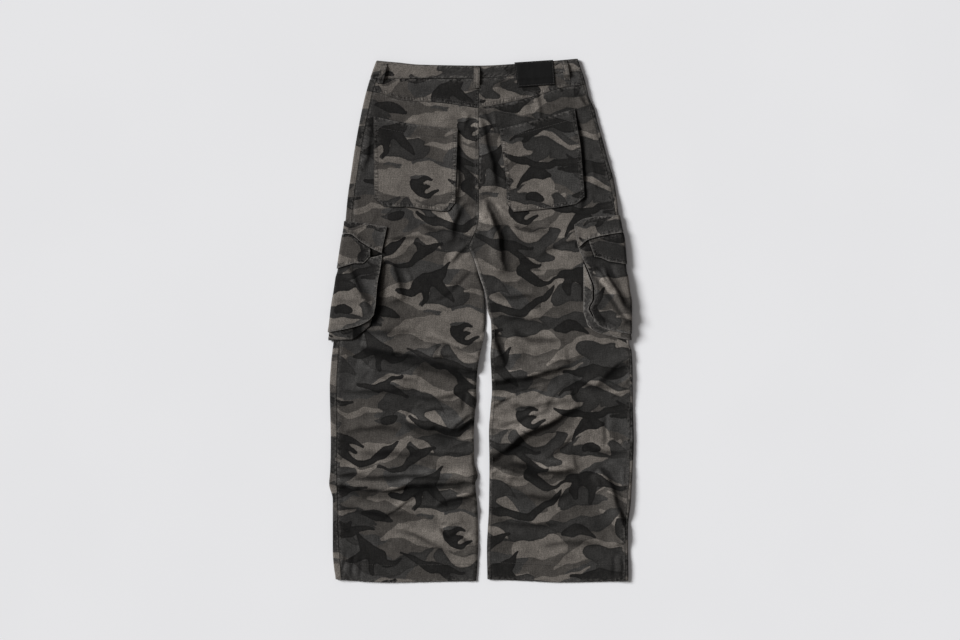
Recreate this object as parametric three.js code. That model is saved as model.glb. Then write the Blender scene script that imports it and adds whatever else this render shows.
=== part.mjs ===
// Cargo trousers in camouflage twill, laid flat on a surface with the back facing up.
//
// Millimetres, +X to the viewer's right when the back is looked at, +Y towards the waist, +Z up from the
// surface. The origin is the middle of the footprint, on the surface. Left and right are the wearer's, which
// in a back view are also the viewer's.
//
// The front panels lie on the surface, turn up round each side and come back over the top as a narrow lip,
// where the side seam is. The back panels lie on the front ones, between the lips. Every piece is a closed
// wall of cloth. Heights come from one function of the place, which adds up the folds in the tables below.

import * as THREE from 'three';

// Driving dimensions
const CLOTH = 1.6;
const BAND_CLOTH = 2.4;
const SEAM_GAP = 0.3;
const LIP_GAP = 0.5;
const LAYER_GAP = 0.4;
const AIR_BETWEEN_PANELS = 1;
const SIDE_TURN = 3;
const SIDE_RISE = 3.6;
const SIDE_RISE_REACH = 18;
const INSEAM_LIFT = 2.2;
const INSEAM_REACH = 22;
const WAIST_LIFT = 1.6;
const WAIST_RISE_REACH = 40;
const HEM_HEIGHT = 34;
const HEM_STEP = 0.7;
const HEM_STEP_REACH = 8;
const CROTCH_Y = 147;
const CROTCH_REACH = 60;
const HALF_GAP = 0.2;

// Waistband and fly. The band is lapped at the middle of the front, and so is the fly below it.
const BAND_FLOOR = 2.3;
const BAND_TOP_MIDDLE = 9.2;
const BAND_TURN = 3.2;
const BAND_LAP_SLOPE = { from: 4, to: 22 };
const FLY_LAP = 45;
const FLY_EDGE_LAP = 6;
const FLY_EDGE_REACH = 20;
const FLY_LOW_Y = 258;
const FLY_LIFT = 1.9;
const FLY_LIFT_ACROSS = { full: 30, none: 60 };
const FLY_LIFT_UP = { none: 211, full: 240 };

// How finely each piece is divided: columns across, and rows between one guide and the next.
const MESH = {
  band: { low: 6, turn: 5, top: 20, rows: 2 },
  yoke: { columns: 9, rows: [3] },
  backLeg: { columns: 12, rows: [16, 38] },
  frontLeg: { counts: { low: 7, turn: 3, top: 1 }, rows: [10, 19] },
  backPocket: { rows: [8] },
  header: { counts: { low: 3, turn: 5, top: 9 }, rows: [3] },
  flap: { counts: { low: 3, turn: 5, top: 7 }, rows: [4] },
  bag: { counts: { low: 3, turn: 5, top: 9 }, rows: [11] },
  gusset: { inner: 8, turn: 5 },
  patch: { columns: 4, rows: [7] },
};

// A table is an array of rows with named columns.
const table = (names, rows) => rows.map((row) => Object.fromEntries(names.map((name, i) => [name, row[i]])));
const clamp = THREE.MathUtils.clamp;
const mix = THREE.MathUtils.lerp;
const ease = (low, high, x) => THREE.MathUtils.smoothstep(x, low, high);
const bell = (x, reach) => Math.exp(-((x / reach) ** 2));

// A smooth function through [key, value] rows that never overshoots them.
function smoothThrough(rows) {
  const sorted = [...rows].sort((a, b) => a[0] - b[0]);
  const last = sorted.length - 1;
  const slopes = sorted.slice(1).map((row, i) => (row[1] - sorted[i][1]) / (row[0] - sorted[i][0]));
  const tangents = sorted.map((_, i) => {
    if (i === 0) return slopes[0];
    if (i === last) return slopes[last - 1];
    const product = slopes[i - 1] * slopes[i];
    return product <= 0 ? 0 : (2 * product) / (slopes[i - 1] + slopes[i]);
  });
  return (key) => {
    const k = clamp(key, sorted[0][0], sorted[last][0]);
    const i = clamp(sorted.findIndex((row) => row[0] >= k) - 1, 0, last - 1);
    const span = sorted[i + 1][0] - sorted[i][0];
    const t = (k - sorted[i][0]) / span;
    const rise = (3 - 2 * t) * t * t;
    const inner = (t ** 3 - 2 * t * t + t) * span * tangents[i] + (t ** 3 - t * t) * span * tangents[i + 1];
    return mix(sorted[i][1], sorted[i + 1][1], rise) + inner;
  };
}

// Straight stretches through [key, value] rows.
function straightThrough(rows) {
  const sorted = [...rows].sort((a, b) => a[0] - b[0]);
  const last = sorted.length - 1;
  return (key) => {
    const k = clamp(key, sorted[0][0], sorted[last][0]);
    const i = clamp(sorted.findIndex((row) => row[0] >= k) - 1, 0, last - 1);
    return mix(sorted[i][1], sorted[i + 1][1], (k - sorted[i][0]) / (sorted[i + 1][0] - sorted[i][0]));
  };
}

// Outline of the trousers. Each row is [y, x].
const sideOutline = {
  left: smoothThrough([
    [523, -207], [505, -214], [481, -222], [445, -232], [409, -240], [337, -253], [289, -260], [247, -266],
    [199, -270.4], [151, -275.5], [71, -284], [1, -290], [-41, -294], [-83, -299], [-131, -302], [-239, -300],
    [-299, -301], [-327, -303], [-357, -296], [-459, -296], [-489, -294], [-516, -290],
  ]),
  right: smoothThrough([
    [525, 193], [504, 200], [480, 208], [447, 216], [422, 227], [393, 234], [373, 240], [343, 248],
    [313, 256], [284, 265], [241, 272], [208, 275.6], [151, 283], [101, 287], [41, 291.5], [1, 293],
    [-41, 294.5], [-61, 301], [-91, 303], [-179, 304], [-239, 305.7], [-305, 303], [-359, 300], [-419, 294],
    [-520, 295],
  ]),
};
// Where the side seams lie on the back. The cloth between a side seam and the outline belongs to the front
// panel.
const sideSeam = {
  left: smoothThrough([
    [523, -194], [445, -219], [337, -240], [247, -253], [151, -262], [1, -277], [-41, -282], [-131, -288],
    [-239, -288], [-399, -286], [-516, -279],
  ]),
  right: smoothThrough([
    [525, 187], [480, 202], [422, 220], [343, 241], [241, 265], [151, 276], [41, 287], [-59, 296],
    [-179, 299], [-305, 297], [-419, 289], [-520, 289],
  ]),
};
const seatSeam = smoothThrough([[523, -4], [211, -4], [185, -8], [167, -16], [CROTCH_Y, -25]]);
const inseam = {
  left: smoothThrough([
    [CROTCH_Y, -25], [125, -15.3], [91, -4.4], [55, 6.6], [21, 10], [1, 10], [-29, 7], [-71, -2], [-103, -7],
    [-139, -9], [-159, -8], [-185, -12], [-239, -14], [-283, -13], [-311, -6], [-325, -11], [-369, -7],
    [-437, -5], [-479, -6], [-519, -9],
  ]),
  right: smoothThrough([
    [CROTCH_Y, -25], [125, -15], [91, -4], [55, 8], [21, 13], [-3, 20], [-35, 21], [-69, 19], [-109, 21],
    [-139, 22], [-179, 19], [-223, 16], [-285, 17], [-371, 16], [-459, 12], [-516, 13],
  ]),
};
const innerEdge = (side, y) => (y > CROTCH_Y ? seatSeam(y) : inseam[side](y));

// Edges that run across. Each row is [x, y].
const waistTop = smoothThrough([
  [-207, 519], [-164, 515], [-122, 511], [-4, 509], [78, 513], [128, 517], [194, 523],
]);
const waistLow = smoothThrough([
  [-222, 483], [-102, 483], [-4, 484], [66, 488], [148, 493], [174, 496], [204, 498],
]);
const yokeSeam = {
  left: smoothThrough([[-228, 459], [-198, 453], [-156, 440], [-82, 435], [-42, 430], [-4, 424]]),
  right: smoothThrough([[-4, 424], [38, 432], [82, 442], [118, 451], [162, 465], [212, 471]]),
};
const hem = {
  left: smoothThrough([[-290, -517], [-190, -523], [-102, -522], [-9, -520]]),
  right: smoothThrough([[13, -517], [86, -520], [158, -523], [295, -520]]),
};

// Creases of the cloth. Each runs from x1, y1 by x2, y2 to x3, y3. The cloth stands high on the left of that
// direction, drops to the crease within half the width, and rises again by low on its right.
const creaseColumns = ['x1', 'y1', 'x2', 'y2', 'x3', 'y3', 'high', 'low', 'width'];
const creases = table(creaseColumns, [
  // seat
  [40, 262, 28, 335, 2, 408, 3.5, 1.5, 12],
  [50, 100, 50, 175, 10, 247, 4, 2, 14],
  [-48, 158, -54, 192, -26, 236, 3, 1.5, 12],
  [209, 217, 210, 329, 190, 420, 3, 1.5, 12],
  // left leg
  [-146, 45, -158, 81, -172, 120, 3.5, 1.5, 16],
  [-245, -60, -122, -84, -6, -112, 6.5, 3, 18],
  [-155, -203, -84, -250, -14, -207, 5, 3, 18],
  [-300, -312, -168, -312, -14, -326, 3, 2, 14],
  [-300, -337, -180, -352, -20, -326, 9, 2, 15],
  [-92, -372, -50, -368, -8, -350, 4, 2, 14],
  // right leg
  [48, -95, 46, -47, 34, -15, 4, 2, 14],
  [20, -137, 108, -121, 182, -92, 6, 3, 18],
  [16, -290, 90, -240, 205, -176, 6, 3, 20],
  [34, -281, 112, -318, 190, -300, 5, 2.5, 16],
  [292, -430, 280, -345, 238, -288, 4, 2, 14],
  [240, -140, 262, -102, 304, -86, 4, 2, 14],
]);
const bagCreases = table(creaseColumns, [
  [214, 96, 252, 62, 298, 2, 5, 3, 12],
  [208, 112, 232, 50, 262, -14, 4, 2, 12],
  [-216, 20, -232, 66, -262, 108, 3.5, 2, 14],
]);
const CREASE_STEPS = 16;
const DROP_SHARE = 0.5;
const SLOPE_SHARE = 1.3;
const LOW_SIDE_REACH = 3;

function creaseHeight(crease, x, y) {
  let best = { distance: Infinity, signed: 0, along: 0 };
  let before = { x: crease.x1, y: crease.y1 };
  for (let i = 1; i <= CREASE_STEPS; i += 1) {
    const t = i / CREASE_STEPS;
    const weights = [(1 - t) ** 2, 2 * t * (1 - t), t * t];
    const here = {
      x: weights[0] * crease.x1 + weights[1] * crease.x2 + weights[2] * crease.x3,
      y: weights[0] * crease.y1 + weights[1] * crease.y2 + weights[2] * crease.y3,
    };
    const run = { x: here.x - before.x, y: here.y - before.y };
    const length = Math.hypot(run.x, run.y);
    const share = clamp(((x - before.x) * run.x + (y - before.y) * run.y) / length ** 2, 0, 1);
    const off = { x: x - before.x - share * run.x, y: y - before.y - share * run.y };
    const distance = Math.hypot(off.x, off.y);
    if (distance < best.distance) {
      const side = Math.sign(run.x * off.y - run.y * off.x) || 1;
      best = { distance, signed: side * distance, along: (i - 1 + share) / CREASE_STEPS };
    }
    before = here;
  }
  const taper = Math.sqrt(clamp(4 * best.along * (1 - best.along), 0, 1));
  const drop = crease.width * DROP_SHARE;
  if (best.signed >= 0) {
    const past = Math.max(0, best.signed - drop);
    return crease.high * taper * ease(0, drop, best.signed) * bell(past, crease.width * SLOPE_SHARE);
  }
  const q = best.distance / crease.width;
  return crease.low * taper * q * Math.exp(1 - q) * bell(q, LOW_SIDE_REACH);
}
const foldHeight = (x, y) => creases.reduce((sum, crease) => sum + creaseHeight(crease, x, y), 0);
const bagFoldHeight = (x, y) => bagCreases.reduce((sum, crease) => sum + creaseHeight(crease, x, y), 0);

// Cargo pocket sizes. The half of each pocket that wraps round to the front lies under the leg.
const CARGO = {
  left: {
    sign: -1,
    out: smoothThrough([
      [203, -272.6], [181, -275.5], [163, -279], [137, -283], [103, -288], [61, -294], [25, -300],
      [-11, -304], [-23, -305.7], [-41, -304],
    ]),
    headerTop: smoothThrough([[-273, 199], [-230, 194], [-187, 187]]),
    headerLow: smoothThrough([[-278, 173], [-260, 172], [-242, 159], [-220, 145], [-197, 134]]),
    headerInner: -187,
    headerInnerLow: -197,
    gussetHigh: 122,
    flapLow: straightThrough([[-289, 103], [-254, 114], [-234, 114], [-221, 127]]),
    flapInner: -221,
    bagTop: smoothThrough([[-283, 131], [-221, 126], [-197, 131]]),
    bagInner: smoothThrough([[132, -197], [105, -200], [72, -206], [29, -210], [10, -213], [-30, -213]]),
    bagLow: smoothThrough([[-306, -24], [-252, -13], [-225, -1], [-212, 12]]),
    gussetFoot: smoothThrough([[-304, -40], [-256, -38], [-236, -23], [-218, -8], [-206, 2]]),
  },
  right: {
    sign: 1,
    out: smoothThrough([
      [214, 277.9], [189, 282], [161, 288], [113, 292], [61, 298], [35, 302], [1, 302], [-41, 302],
    ]),
    headerTop: smoothThrough([[186, 191], [205, 203], [233, 208], [279, 210]]),
    headerLow: smoothThrough([[195, 145], [214, 161], [242, 169], [284, 176]]),
    headerInner: 186,
    headerInnerLow: 195,
    gussetHigh: 112,
    flapLow: straightThrough([[226, 127], [240, 125], [255, 118], [292, 112]]),
    flapInner: 217,
    bagTop: smoothThrough([[206, 118], [226, 128], [290, 132]]),
    bagInner: smoothThrough([
      [130, 206], [118, 207], [89, 218], [63, 226], [44, 226], [24, 218], [10, 224], [-30, 232],
    ]),
    bagLow: smoothThrough([[218, 8], [242, -14], [262, -20], [303, -28]]),
    gussetFoot: smoothThrough([[206, -2], [222, -18], [240, -27], [303, -41]]),
  },
};
const CARGO_LIFT = 3.9;
const CARGO_Y = { low: -46, high: 206 };
const CARGO_FADE = 60;
const UNDER_REACH = 92;
const FLAP_UNDER_REACH = 62;
const HEADER_FOOT_Y = 140;
const BAG_STAND = 2.2;
const BAG_EDGE_STAND = 6.5;
const BAG_LOW_EDGE_SHARE = 0.6;
const BAG_EDGE_REACH = 22;
const BAG_FOLDS_UP = { full: 80, none: 104 };
const BAG_TUCK = { inset: 2.3, rise: 1.9, from: 84, to: 100 };
const FLAP_STEP = 2.2;
const ROUND_TURN = 5;
// Where each piece meets the fold at the side, which gives the height of its hidden edge.
const FOLD_INSET = 6;
const FOLD_Y = { header: 175, flap: 110, bag: -25 };

// How far the front panel is lifted by what lies under it.
function lift(side, x, y) {
  const { sign } = CARGO[side];
  const inward = sign * (sideOutline[side](y) - x);
  const across = 1 - ease(UNDER_REACH, UNDER_REACH + CARGO_FADE, inward);
  const rising = ease(CARGO_Y.low - CARGO_FADE, CARGO_Y.low, y);
  const falling = 1 - ease(CARGO_Y.high, CARGO_Y.high + CARGO_FADE, y);
  const waist = WAIST_LIFT * bell(Math.max(0, waistLow(x) - y), WAIST_RISE_REACH);
  const overFly = 1 - ease(FLY_LIFT_ACROSS.full, FLY_LIFT_ACROSS.none, x - seatSeam(y));
  const lapped = side === 'right' ? overFly * ease(FLY_LIFT_UP.none, FLY_LIFT_UP.full, y) : 0;
  return CARGO_LIFT * across * rising * falling + waist + FLY_LIFT * lapped;
}

const inseamLift = (side, x, y) => {
  const below = 1 - ease(CROTCH_Y - CROTCH_REACH, CROTCH_Y, y);
  return INSEAM_LIFT * below * bell(x - innerEdge(side, y), INSEAM_REACH);
};

// Height of the outer face of the back of a leg.
function legTop(side, x, y) {
  const toSide = CARGO[side].sign * (sideSeam[side](y) - x);
  const sideShare = bell(Math.max(0, toSide), SIDE_RISE_REACH);
  const waistShare = bell(Math.max(0, waistLow(x) - y), WAIST_RISE_REACH);
  const rise = SIDE_RISE * (1 - (1 - sideShare) * (1 - waistShare));
  const hemTop = hem[side](x) + HEM_HEIGHT;
  const hemStep = HEM_STEP * (1 - ease(hemTop, hemTop + HEM_STEP_REACH, y));
  const flat = 2 * CLOTH + AIR_BETWEEN_PANELS;
  return lift(side, x, y) + inseamLift(side, x, y) + flat + rise + hemStep + foldHeight(x, y);
}
const frontMiddle = (side, x, y) => lift(side, x, y) + inseamLift(side, x, y) + CLOTH / 2;

// What lies on a leg clears it by the gap even where both are made of flat facets.
const CLEAR_RADIUS = 9;
function clearOfLeg(side, x, y) {
  let highest = legTop(side, x, y);
  for (const [dx, dy] of [[1, 0], [-1, 0], [0, 1], [0, -1]]) {
    highest = Math.max(highest, legTop(side, x + dx * CLEAR_RADIUS, y + dy * CLEAR_RADIUS));
  }
  return highest + LAYER_GAP;
}

// Rows of a piece: the guides are curves across it, with so many steps between each and the next.
function rowsBetween(guides, steps) {
  const rows = [];
  steps.forEach((count, k) => {
    for (let i = 0; i < count; i += 1) {
      rows.push((x) => mix(guides[k](x), guides[k + 1](x), i / count));
    }
  });
  rows.push(guides[guides.length - 1]);
  return rows;
}
const evenly = (count) => Array.from({ length: count + 1 }, (_, i) => i / count);
const level = (y) => () => y;
const moved = (guide, by) => (x) => guide(x) + by;

// Finds the point where a column of the piece meets a row.
const MEET_STEPS = 8;
function meet(row, column) {
  let y = row(column.near);
  let point = null;
  for (let i = 0; i < MEET_STEPS; i += 1) {
    point = column.at(y);
    y = row(point.x);
  }
  return { x: point.x, y, point };
}

// A closed wall from a grid of middle points and directions.
function wall(grid, thickness) {
  const height = grid.length;
  const width = grid[0].length;
  const positions = [];
  for (const direction of [1, -1]) {
    for (const row of grid) {
      for (const { at, out } of row) {
        positions.push(...at.map((value, i) => value + (direction * thickness * out[i]) / 2));
      }
    }
  }
  const index = [];
  const face = (layer, r, c) => layer * height * width + r * width + c;
  const quad = (a, b, c, d) => index.push(a, b, c, a, c, d);
  const lastRow = height - 1;
  const lastColumn = width - 1;
  for (let r = 0; r < lastRow; r += 1) {
    for (let c = 0; c < lastColumn; c += 1) {
      quad(face(0, r, c), face(0, r, c + 1), face(0, r + 1, c + 1), face(0, r + 1, c));
      quad(face(1, r, c), face(1, r + 1, c), face(1, r + 1, c + 1), face(1, r, c + 1));
    }
  }
  for (let c = 0; c < lastColumn; c += 1) {
    quad(face(0, 0, c + 1), face(0, 0, c), face(1, 0, c), face(1, 0, c + 1));
    quad(face(0, lastRow, c), face(0, lastRow, c + 1), face(1, lastRow, c + 1), face(1, lastRow, c));
  }
  for (let r = 0; r < lastRow; r += 1) {
    quad(face(0, r, 0), face(0, r + 1, 0), face(1, r + 1, 0), face(1, r, 0));
    const outer = [face(0, r + 1, lastColumn), face(0, r, lastColumn)];
    quad(...outer, face(1, r, lastColumn), face(1, r + 1, lastColumn));
  }
  const geometry = new THREE.BufferGeometry();
  geometry.setAttribute('position', new THREE.Float32BufferAttribute(positions, 3));
  geometry.setIndex(index);
  return facingOut(geometry);
}

// Turns the faces round if the closed surface holds a negative volume.
function facingOut(geometry) {
  const place = geometry.getAttribute('position');
  const index = geometry.getIndex();
  const corner = [new THREE.Vector3(), new THREE.Vector3(), new THREE.Vector3()];
  let volume = 0;
  for (let i = 0; i < index.count; i += 3) {
    corner.forEach((v, k) => v.fromBufferAttribute(place, index.getX(i + k)));
    volume += corner[0].dot(corner[1].clone().cross(corner[2])) / 6;
  }
  if (volume < 0) {
    for (let i = 0; i < index.count; i += 3) {
      const first = index.getX(i);
      index.setX(i, index.getX(i + 1));
      index.setX(i + 1, first);
    }
  }
  geometry.computeVertexNormals();
  return geometry;
}

// A flat-lying piece between a left and a right edge, whose outer face has the given height.
function flatPiece({ left, right, rows, columns, top, thickness = CLOTH }) {
  const grid = rows.map((row) => columns.map((share) => {
    const column = { near: left(0), at: (y) => ({ x: mix(left(y), right(y), share) }) };
    const { x, y } = meet(row, column);
    return { at: [x, y, top(x, y) - thickness / 2], out: [0, 0, 1] };
  }));
  return wall(grid, thickness);
}

// A piece that goes round the side of the leg: an arm below, half a turn, and an arm on top.
function wrapPiece(piece) {
  const { sign, out, low, top, rows, lowRows = rows, counts, lowMiddle, topMiddle, turn } = piece;
  const start = (y) => out(y) - sign * (turn + CLOTH / 2);
  const columns = [
    ...evenly(counts.low).slice(0, -1).map((t) => ({ arm: 'low', t })),
    ...evenly(counts.turn).slice(0, -1).map((t) => ({ arm: 'turn', t })),
    ...evenly(counts.top).map((t) => ({ arm: 'top', t })),
  ];
  const section = ({ arm, t }, y) => {
    const x0 = start(y);
    if (arm === 'low') {
      const x = mix(low(y), x0, t);
      return { x, z: lowMiddle(x, y), out: [0, 0, -1] };
    }
    if (arm === 'top') {
      const x = mix(x0, top(y), t);
      return { x, z: topMiddle(x, y), out: [0, 0, 1] };
    }
    const z0 = lowMiddle(x0, y);
    const half = (topMiddle(x0, y) - z0) / 2;
    const angle = Math.PI * t;
    const normal = new THREE.Vector3(sign * half * Math.sin(angle), 0, -turn * Math.cos(angle)).normalize();
    const z = z0 + half * (1 - Math.cos(angle));
    return { x: x0 + sign * turn * Math.sin(angle), z, out: normal.toArray() };
  };
  const grid = rows.map((row, r) => columns.map((column) => {
    const own = column.arm === 'low' ? lowRows[r] : row;
    const found = meet(own, { near: out(0), at: (y) => section(column, y) });
    return { at: [found.x, found.y, found.point.z], out: found.point.out };
  }));
  return wall(grid, CLOTH);
}

// A wall whose directions come from its own points, for pieces that stand on edge or bridge a gap.
function standingWall(points, thickness) {
  const vector = (r, c) => new THREE.Vector3(...points[r][c]);
  const grid = points.map((row, r) => row.map((at, c) => {
    const along = vector(r, Math.min(c + 1, row.length - 1)).sub(vector(r, Math.max(c - 1, 0)));
    const across = vector(Math.min(r + 1, points.length - 1), c).sub(vector(Math.max(r - 1, 0), c));
    return { at, out: along.cross(across).normalize().toArray() };
  }));
  return wall(grid, thickness);
}

const towards = { left: -1, right: 1 };
const camo = new THREE.MeshStandardMaterial({ color: 0x45433f, roughness: 0.95, metalness: 0 });
const camoDark = new THREE.MeshStandardMaterial({ color: 0x3a3936, roughness: 0.95, metalness: 0 });
const leather = new THREE.MeshStandardMaterial({ color: 0x151515, roughness: 0.6, metalness: 0 });
const buttonPlastic = new THREE.MeshStandardMaterial({ color: 0x26251f, roughness: 0.45, metalness: 0 });
const trousers = new THREE.Group();
function add(name, geometry, material) {
  const mesh = new THREE.Mesh(geometry, material);
  mesh.name = name;
  trousers.add(mesh);
}

// Waistband: one band, lapped at the middle of the front, that turns round both sides.
// Columns are closest together where the upper end of the lap slopes down.
const BAND_LAP_SHARES = [0, 0.12, 0.24, 0.38, 0.54, 0.68, 0.76, 0.88, 1];

function waistband() {
  const middle = seatSeam(waistLow(0));
  const low = BAND_FLOOR + BAND_CLOTH / 2;
  const lapMiddle = low + BAND_CLOTH + SEAM_GAP;
  const half = (BAND_TOP_MIDDLE - low) / 2;
  const lapEnd = middle + FLY_LAP / 2;
  const lapStart = middle - FLY_LAP / 2;
  const start = (side, y) => sideOutline[side](y) - towards[side] * (BAND_TURN + BAND_CLOTH / 2);
  const turn = (side, t) => (y) => {
    const angle = Math.PI * t;
    const normal = new THREE.Vector3(towards[side] * half * Math.sin(angle), 0, -BAND_TURN * Math.cos(angle));
    const x = start(side, y) + towards[side] * BAND_TURN * Math.sin(angle);
    return { x, z: low + half * (1 - Math.cos(angle)), out: normal.normalize().toArray() };
  };
  const underLeft = (t) => (y) => ({ x: mix(lapEnd, start('left', y), t), z: low, out: [0, 0, -1] });
  const across = (t) => (y) => (
    { x: mix(start('left', y), start('right', y), t), z: BAND_TOP_MIDDLE, out: [0, 0, 1] }
  );
  const underRight = (t) => (y) => {
    const x = mix(start('right', y), lapStart, t);
    const slope = ease(lapEnd + BAND_LAP_SLOPE.from, lapEnd + BAND_LAP_SLOPE.to, x);
    return { x, z: mix(lapMiddle, low, slope), out: [0, 0, -1] };
  };
  const shares = (count) => evenly(count).slice(0, -1);
  const columns = [
    ...shares(MESH.band.low).map(underLeft),
    ...shares(MESH.band.turn).map((t) => turn('left', t)),
    ...shares(MESH.band.top).map(across),
    ...shares(MESH.band.turn).map((t) => turn('right', 1 - t)),
    ...BAND_LAP_SHARES.map(underRight),
  ];
  const grid = rowsBetween([waistLow, waistTop], [MESH.band.rows]).map((row) => columns.map((at) => {
    const { y, point } = meet(row, { near: 0, at });
    return { at: [point.x, y, point.z], out: point.out };
  }));
  return wall(grid, BAND_CLOTH);
}
add('waistband', waistband(), camo);

// Yokes and legs
for (const side of ['left', 'right']) {
  const sign = towards[side];
  const lipEdge = (y) => sideSeam[side](y) - sign * LIP_GAP;
  const middleEdge = (y) => innerEdge(side, y) + sign * HALF_GAP;
  const span = (share) => (side === 'left' ? [lipEdge, middleEdge] : [middleEdge, lipEdge])[share];
  const top = (x, y) => legTop(side, x, y);

  add(`yoke_${side}`, flatPiece({
    left: span(0),
    right: span(1),
    rows: rowsBetween([moved(waistLow, -SEAM_GAP), moved(yokeSeam[side], HALF_GAP)], MESH.yoke.rows),
    columns: evenly(MESH.yoke.columns),
    top,
  }), camoDark);

  add(`back_leg_${side}`, flatPiece({
    left: span(0),
    right: span(1),
    rows: rowsBetween([moved(yokeSeam[side], -HALF_GAP), level(CROTCH_Y), hem[side]], MESH.backLeg.rows),
    columns: evenly(MESH.backLeg.columns),
    top,
  }), camo);

  const flyLap = side === 'left' ? FLY_EDGE_LAP : 0;
  const flyEdge = (y) => middleEdge(y) + flyLap * ease(FLY_LOW_Y, FLY_LOW_Y + FLY_EDGE_REACH, y);
  const frontRows = [moved(waistLow, -2 * SEAM_GAP), level(CROTCH_Y), hem[side]];
  add(`front_leg_${side}`, wrapPiece({
    sign,
    out: sideOutline[side],
    low: flyEdge,
    top: sideSeam[side],
    rows: rowsBetween(frontRows, MESH.frontLeg.rows),
    counts: MESH.frontLeg.counts,
    lowMiddle: (x, y) => frontMiddle(side, x, y),
    topMiddle: (x, y) => legTop(side, x, y) - CLOTH / 2,
    turn: SIDE_TURN,
  }), camoDark);
}

// Back patch pockets. Columns are closest together at the sewn sides.
const POCKET_COLUMNS = [0, 0.07, 0.14, 0.28, 0.42, 0.58, 0.72, 0.86, 0.92, 1];
const backPockets = table(['side', 'left', 'right', 'top', 'low'], [
  ['left',
    straightThrough([[408, -214], [227, -213]]),
    straightThrough([[382, -46], [235, -51]]),
    smoothThrough([[-214, 408], [-187, 402], [-126, 391], [-46, 382]]),
    straightThrough([[-213, 245], [-192, 227], [-148, 227], [-76, 218], [-64, 219], [-51, 235]])],
  ['right',
    straightThrough([[382, 37], [281, 51], [217, 52]]),
    straightThrough([[423, 188], [343, 200], [247, 208], [220, 208]]),
    smoothThrough([[37, 382], [94, 397], [188, 423]]),
    straightThrough([[52, 235], [66, 217], [100, 220], [150, 225], [190, 232], [208, 247]])],
]);
for (const pocket of backPockets) {
  add(`back_pocket_${pocket.side}`, flatPiece({
    left: pocket.left,
    right: pocket.right,
    rows: rowsBetween([pocket.top, pocket.low], MESH.backPocket.rows),
    columns: POCKET_COLUMNS,
    top: (x, y) => clearOfLeg(pocket.side, x, y) + CLOTH,
  }), camoDark);
}

// Height of the outer face of a cargo bag. It stands highest along its inner and lower edges.
function bagFace(side, x, y) {
  const { bagInner, bagLow } = CARGO[side];
  const toInner = Math.abs(x - bagInner(y));
  const toLow = Math.max(0, y - bagLow(x));
  const edge = Math.max(bell(toInner, BAG_EDGE_REACH), BAG_LOW_EDGE_SHARE * bell(toLow, BAG_EDGE_REACH));
  const open = 1 - ease(BAG_FOLDS_UP.full, BAG_FOLDS_UP.none, y);
  return clearOfLeg(side, x, y) + CLOTH + BAG_STAND + BAG_EDGE_STAND * edge + open * bagFoldHeight(x, y);
}

// Cargo pockets: header, flap, bag and gusset, each wrapped round the side of its leg.
for (const side of ['left', 'right']) {
  const { sign, out, ...cut } = CARGO[side];
  const onLeg = (x, y) => clearOfLeg(side, x, y);
  const under = (y) => out(y) - sign * UNDER_REACH;
  const tucked = (y) => ease(BAG_TUCK.from, BAG_TUCK.to, y);
  const bagOut = (y) => out(y) - sign * BAG_TUCK.inset * tucked(y);
  const bagTopFace = (x, y) => bagFace(side, x, y);
  const atFold = (guide, y) => guide(out(y) - sign * FOLD_INSET);
  const headerLowAtFold = atFold(cut.headerLow, FOLD_Y.header);
  const flapLowAtFold = atFold(cut.flapLow, FOLD_Y.flap);
  const bagLowAtFold = atFold(cut.bagLow, FOLD_Y.bag);
  const headerInner = straightThrough([
    [cut.headerTop(cut.headerInner), cut.headerInner],
    [HEADER_FOOT_Y, cut.headerInnerLow],
  ]);

  add(`cargo_header_${side}`, wrapPiece({
    sign,
    out,
    low: under,
    top: headerInner,
    rows: rowsBetween([cut.headerTop, cut.headerLow], MESH.header.rows),
    lowRows: rowsBetween([cut.headerTop, level(headerLowAtFold)], MESH.header.rows),
    counts: MESH.header.counts,
    lowMiddle: () => CLOTH / 2,
    topMiddle: (x, y) => onLeg(x, y) + CLOTH / 2,
    turn: ROUND_TURN,
  }), camo);

  add(`cargo_flap_${side}`, wrapPiece({
    sign,
    out,
    low: (y) => out(y) - sign * FLAP_UNDER_REACH,
    top: level(cut.flapInner),
    rows: rowsBetween([moved(cut.headerLow, -2 * SEAM_GAP), cut.flapLow], MESH.flap.rows),
    lowRows: rowsBetween([level(headerLowAtFold - 2 * SEAM_GAP), level(flapLowAtFold)], MESH.flap.rows),
    counts: MESH.flap.counts,
    lowMiddle: () => CLOTH / 2,
    topMiddle: (x, y) => bagTopFace(x, y) + FLAP_STEP - CLOTH / 2,
    turn: ROUND_TURN,
  }), camoDark);

  add(`cargo_bag_${side}`, wrapPiece({
    sign,
    out: bagOut,
    low: under,
    top: cut.bagInner,
    rows: rowsBetween([cut.bagTop, cut.bagLow], MESH.bag.rows),
    lowRows: rowsBetween([cut.bagTop, level(bagLowAtFold)], MESH.bag.rows),
    counts: MESH.bag.counts,
    lowMiddle: (x, y) => CLOTH / 2 + BAG_TUCK.rise * tucked(y),
    topMiddle: (x, y) => bagTopFace(x, y) - CLOTH / 2,
    turn: ROUND_TURN,
  }), camo);
}

// Gussets: a strip that stands under the inner edge of the bag, then slopes out below it and turns round the
// side of the leg. The top line is under the bag and the foot line is on the leg.
const GUSSET = {
  inset: 4.5, cornerInset: 7.2, footInset: 2.5, tuck: 3, clear: 2.5, footStand: 1.12, cornerY: 16, foldY: -30,
  foldClear: 2, topTurn: 4.2, footTurn: 7, tails: [26, 52],
};
// Shares of the way from the corner to the side, closest together round the corner.
const GUSSET_LOW_SHARES = [0.1, 0.22, 0.36, 0.52, 0.7, 0.86, 1];

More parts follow.
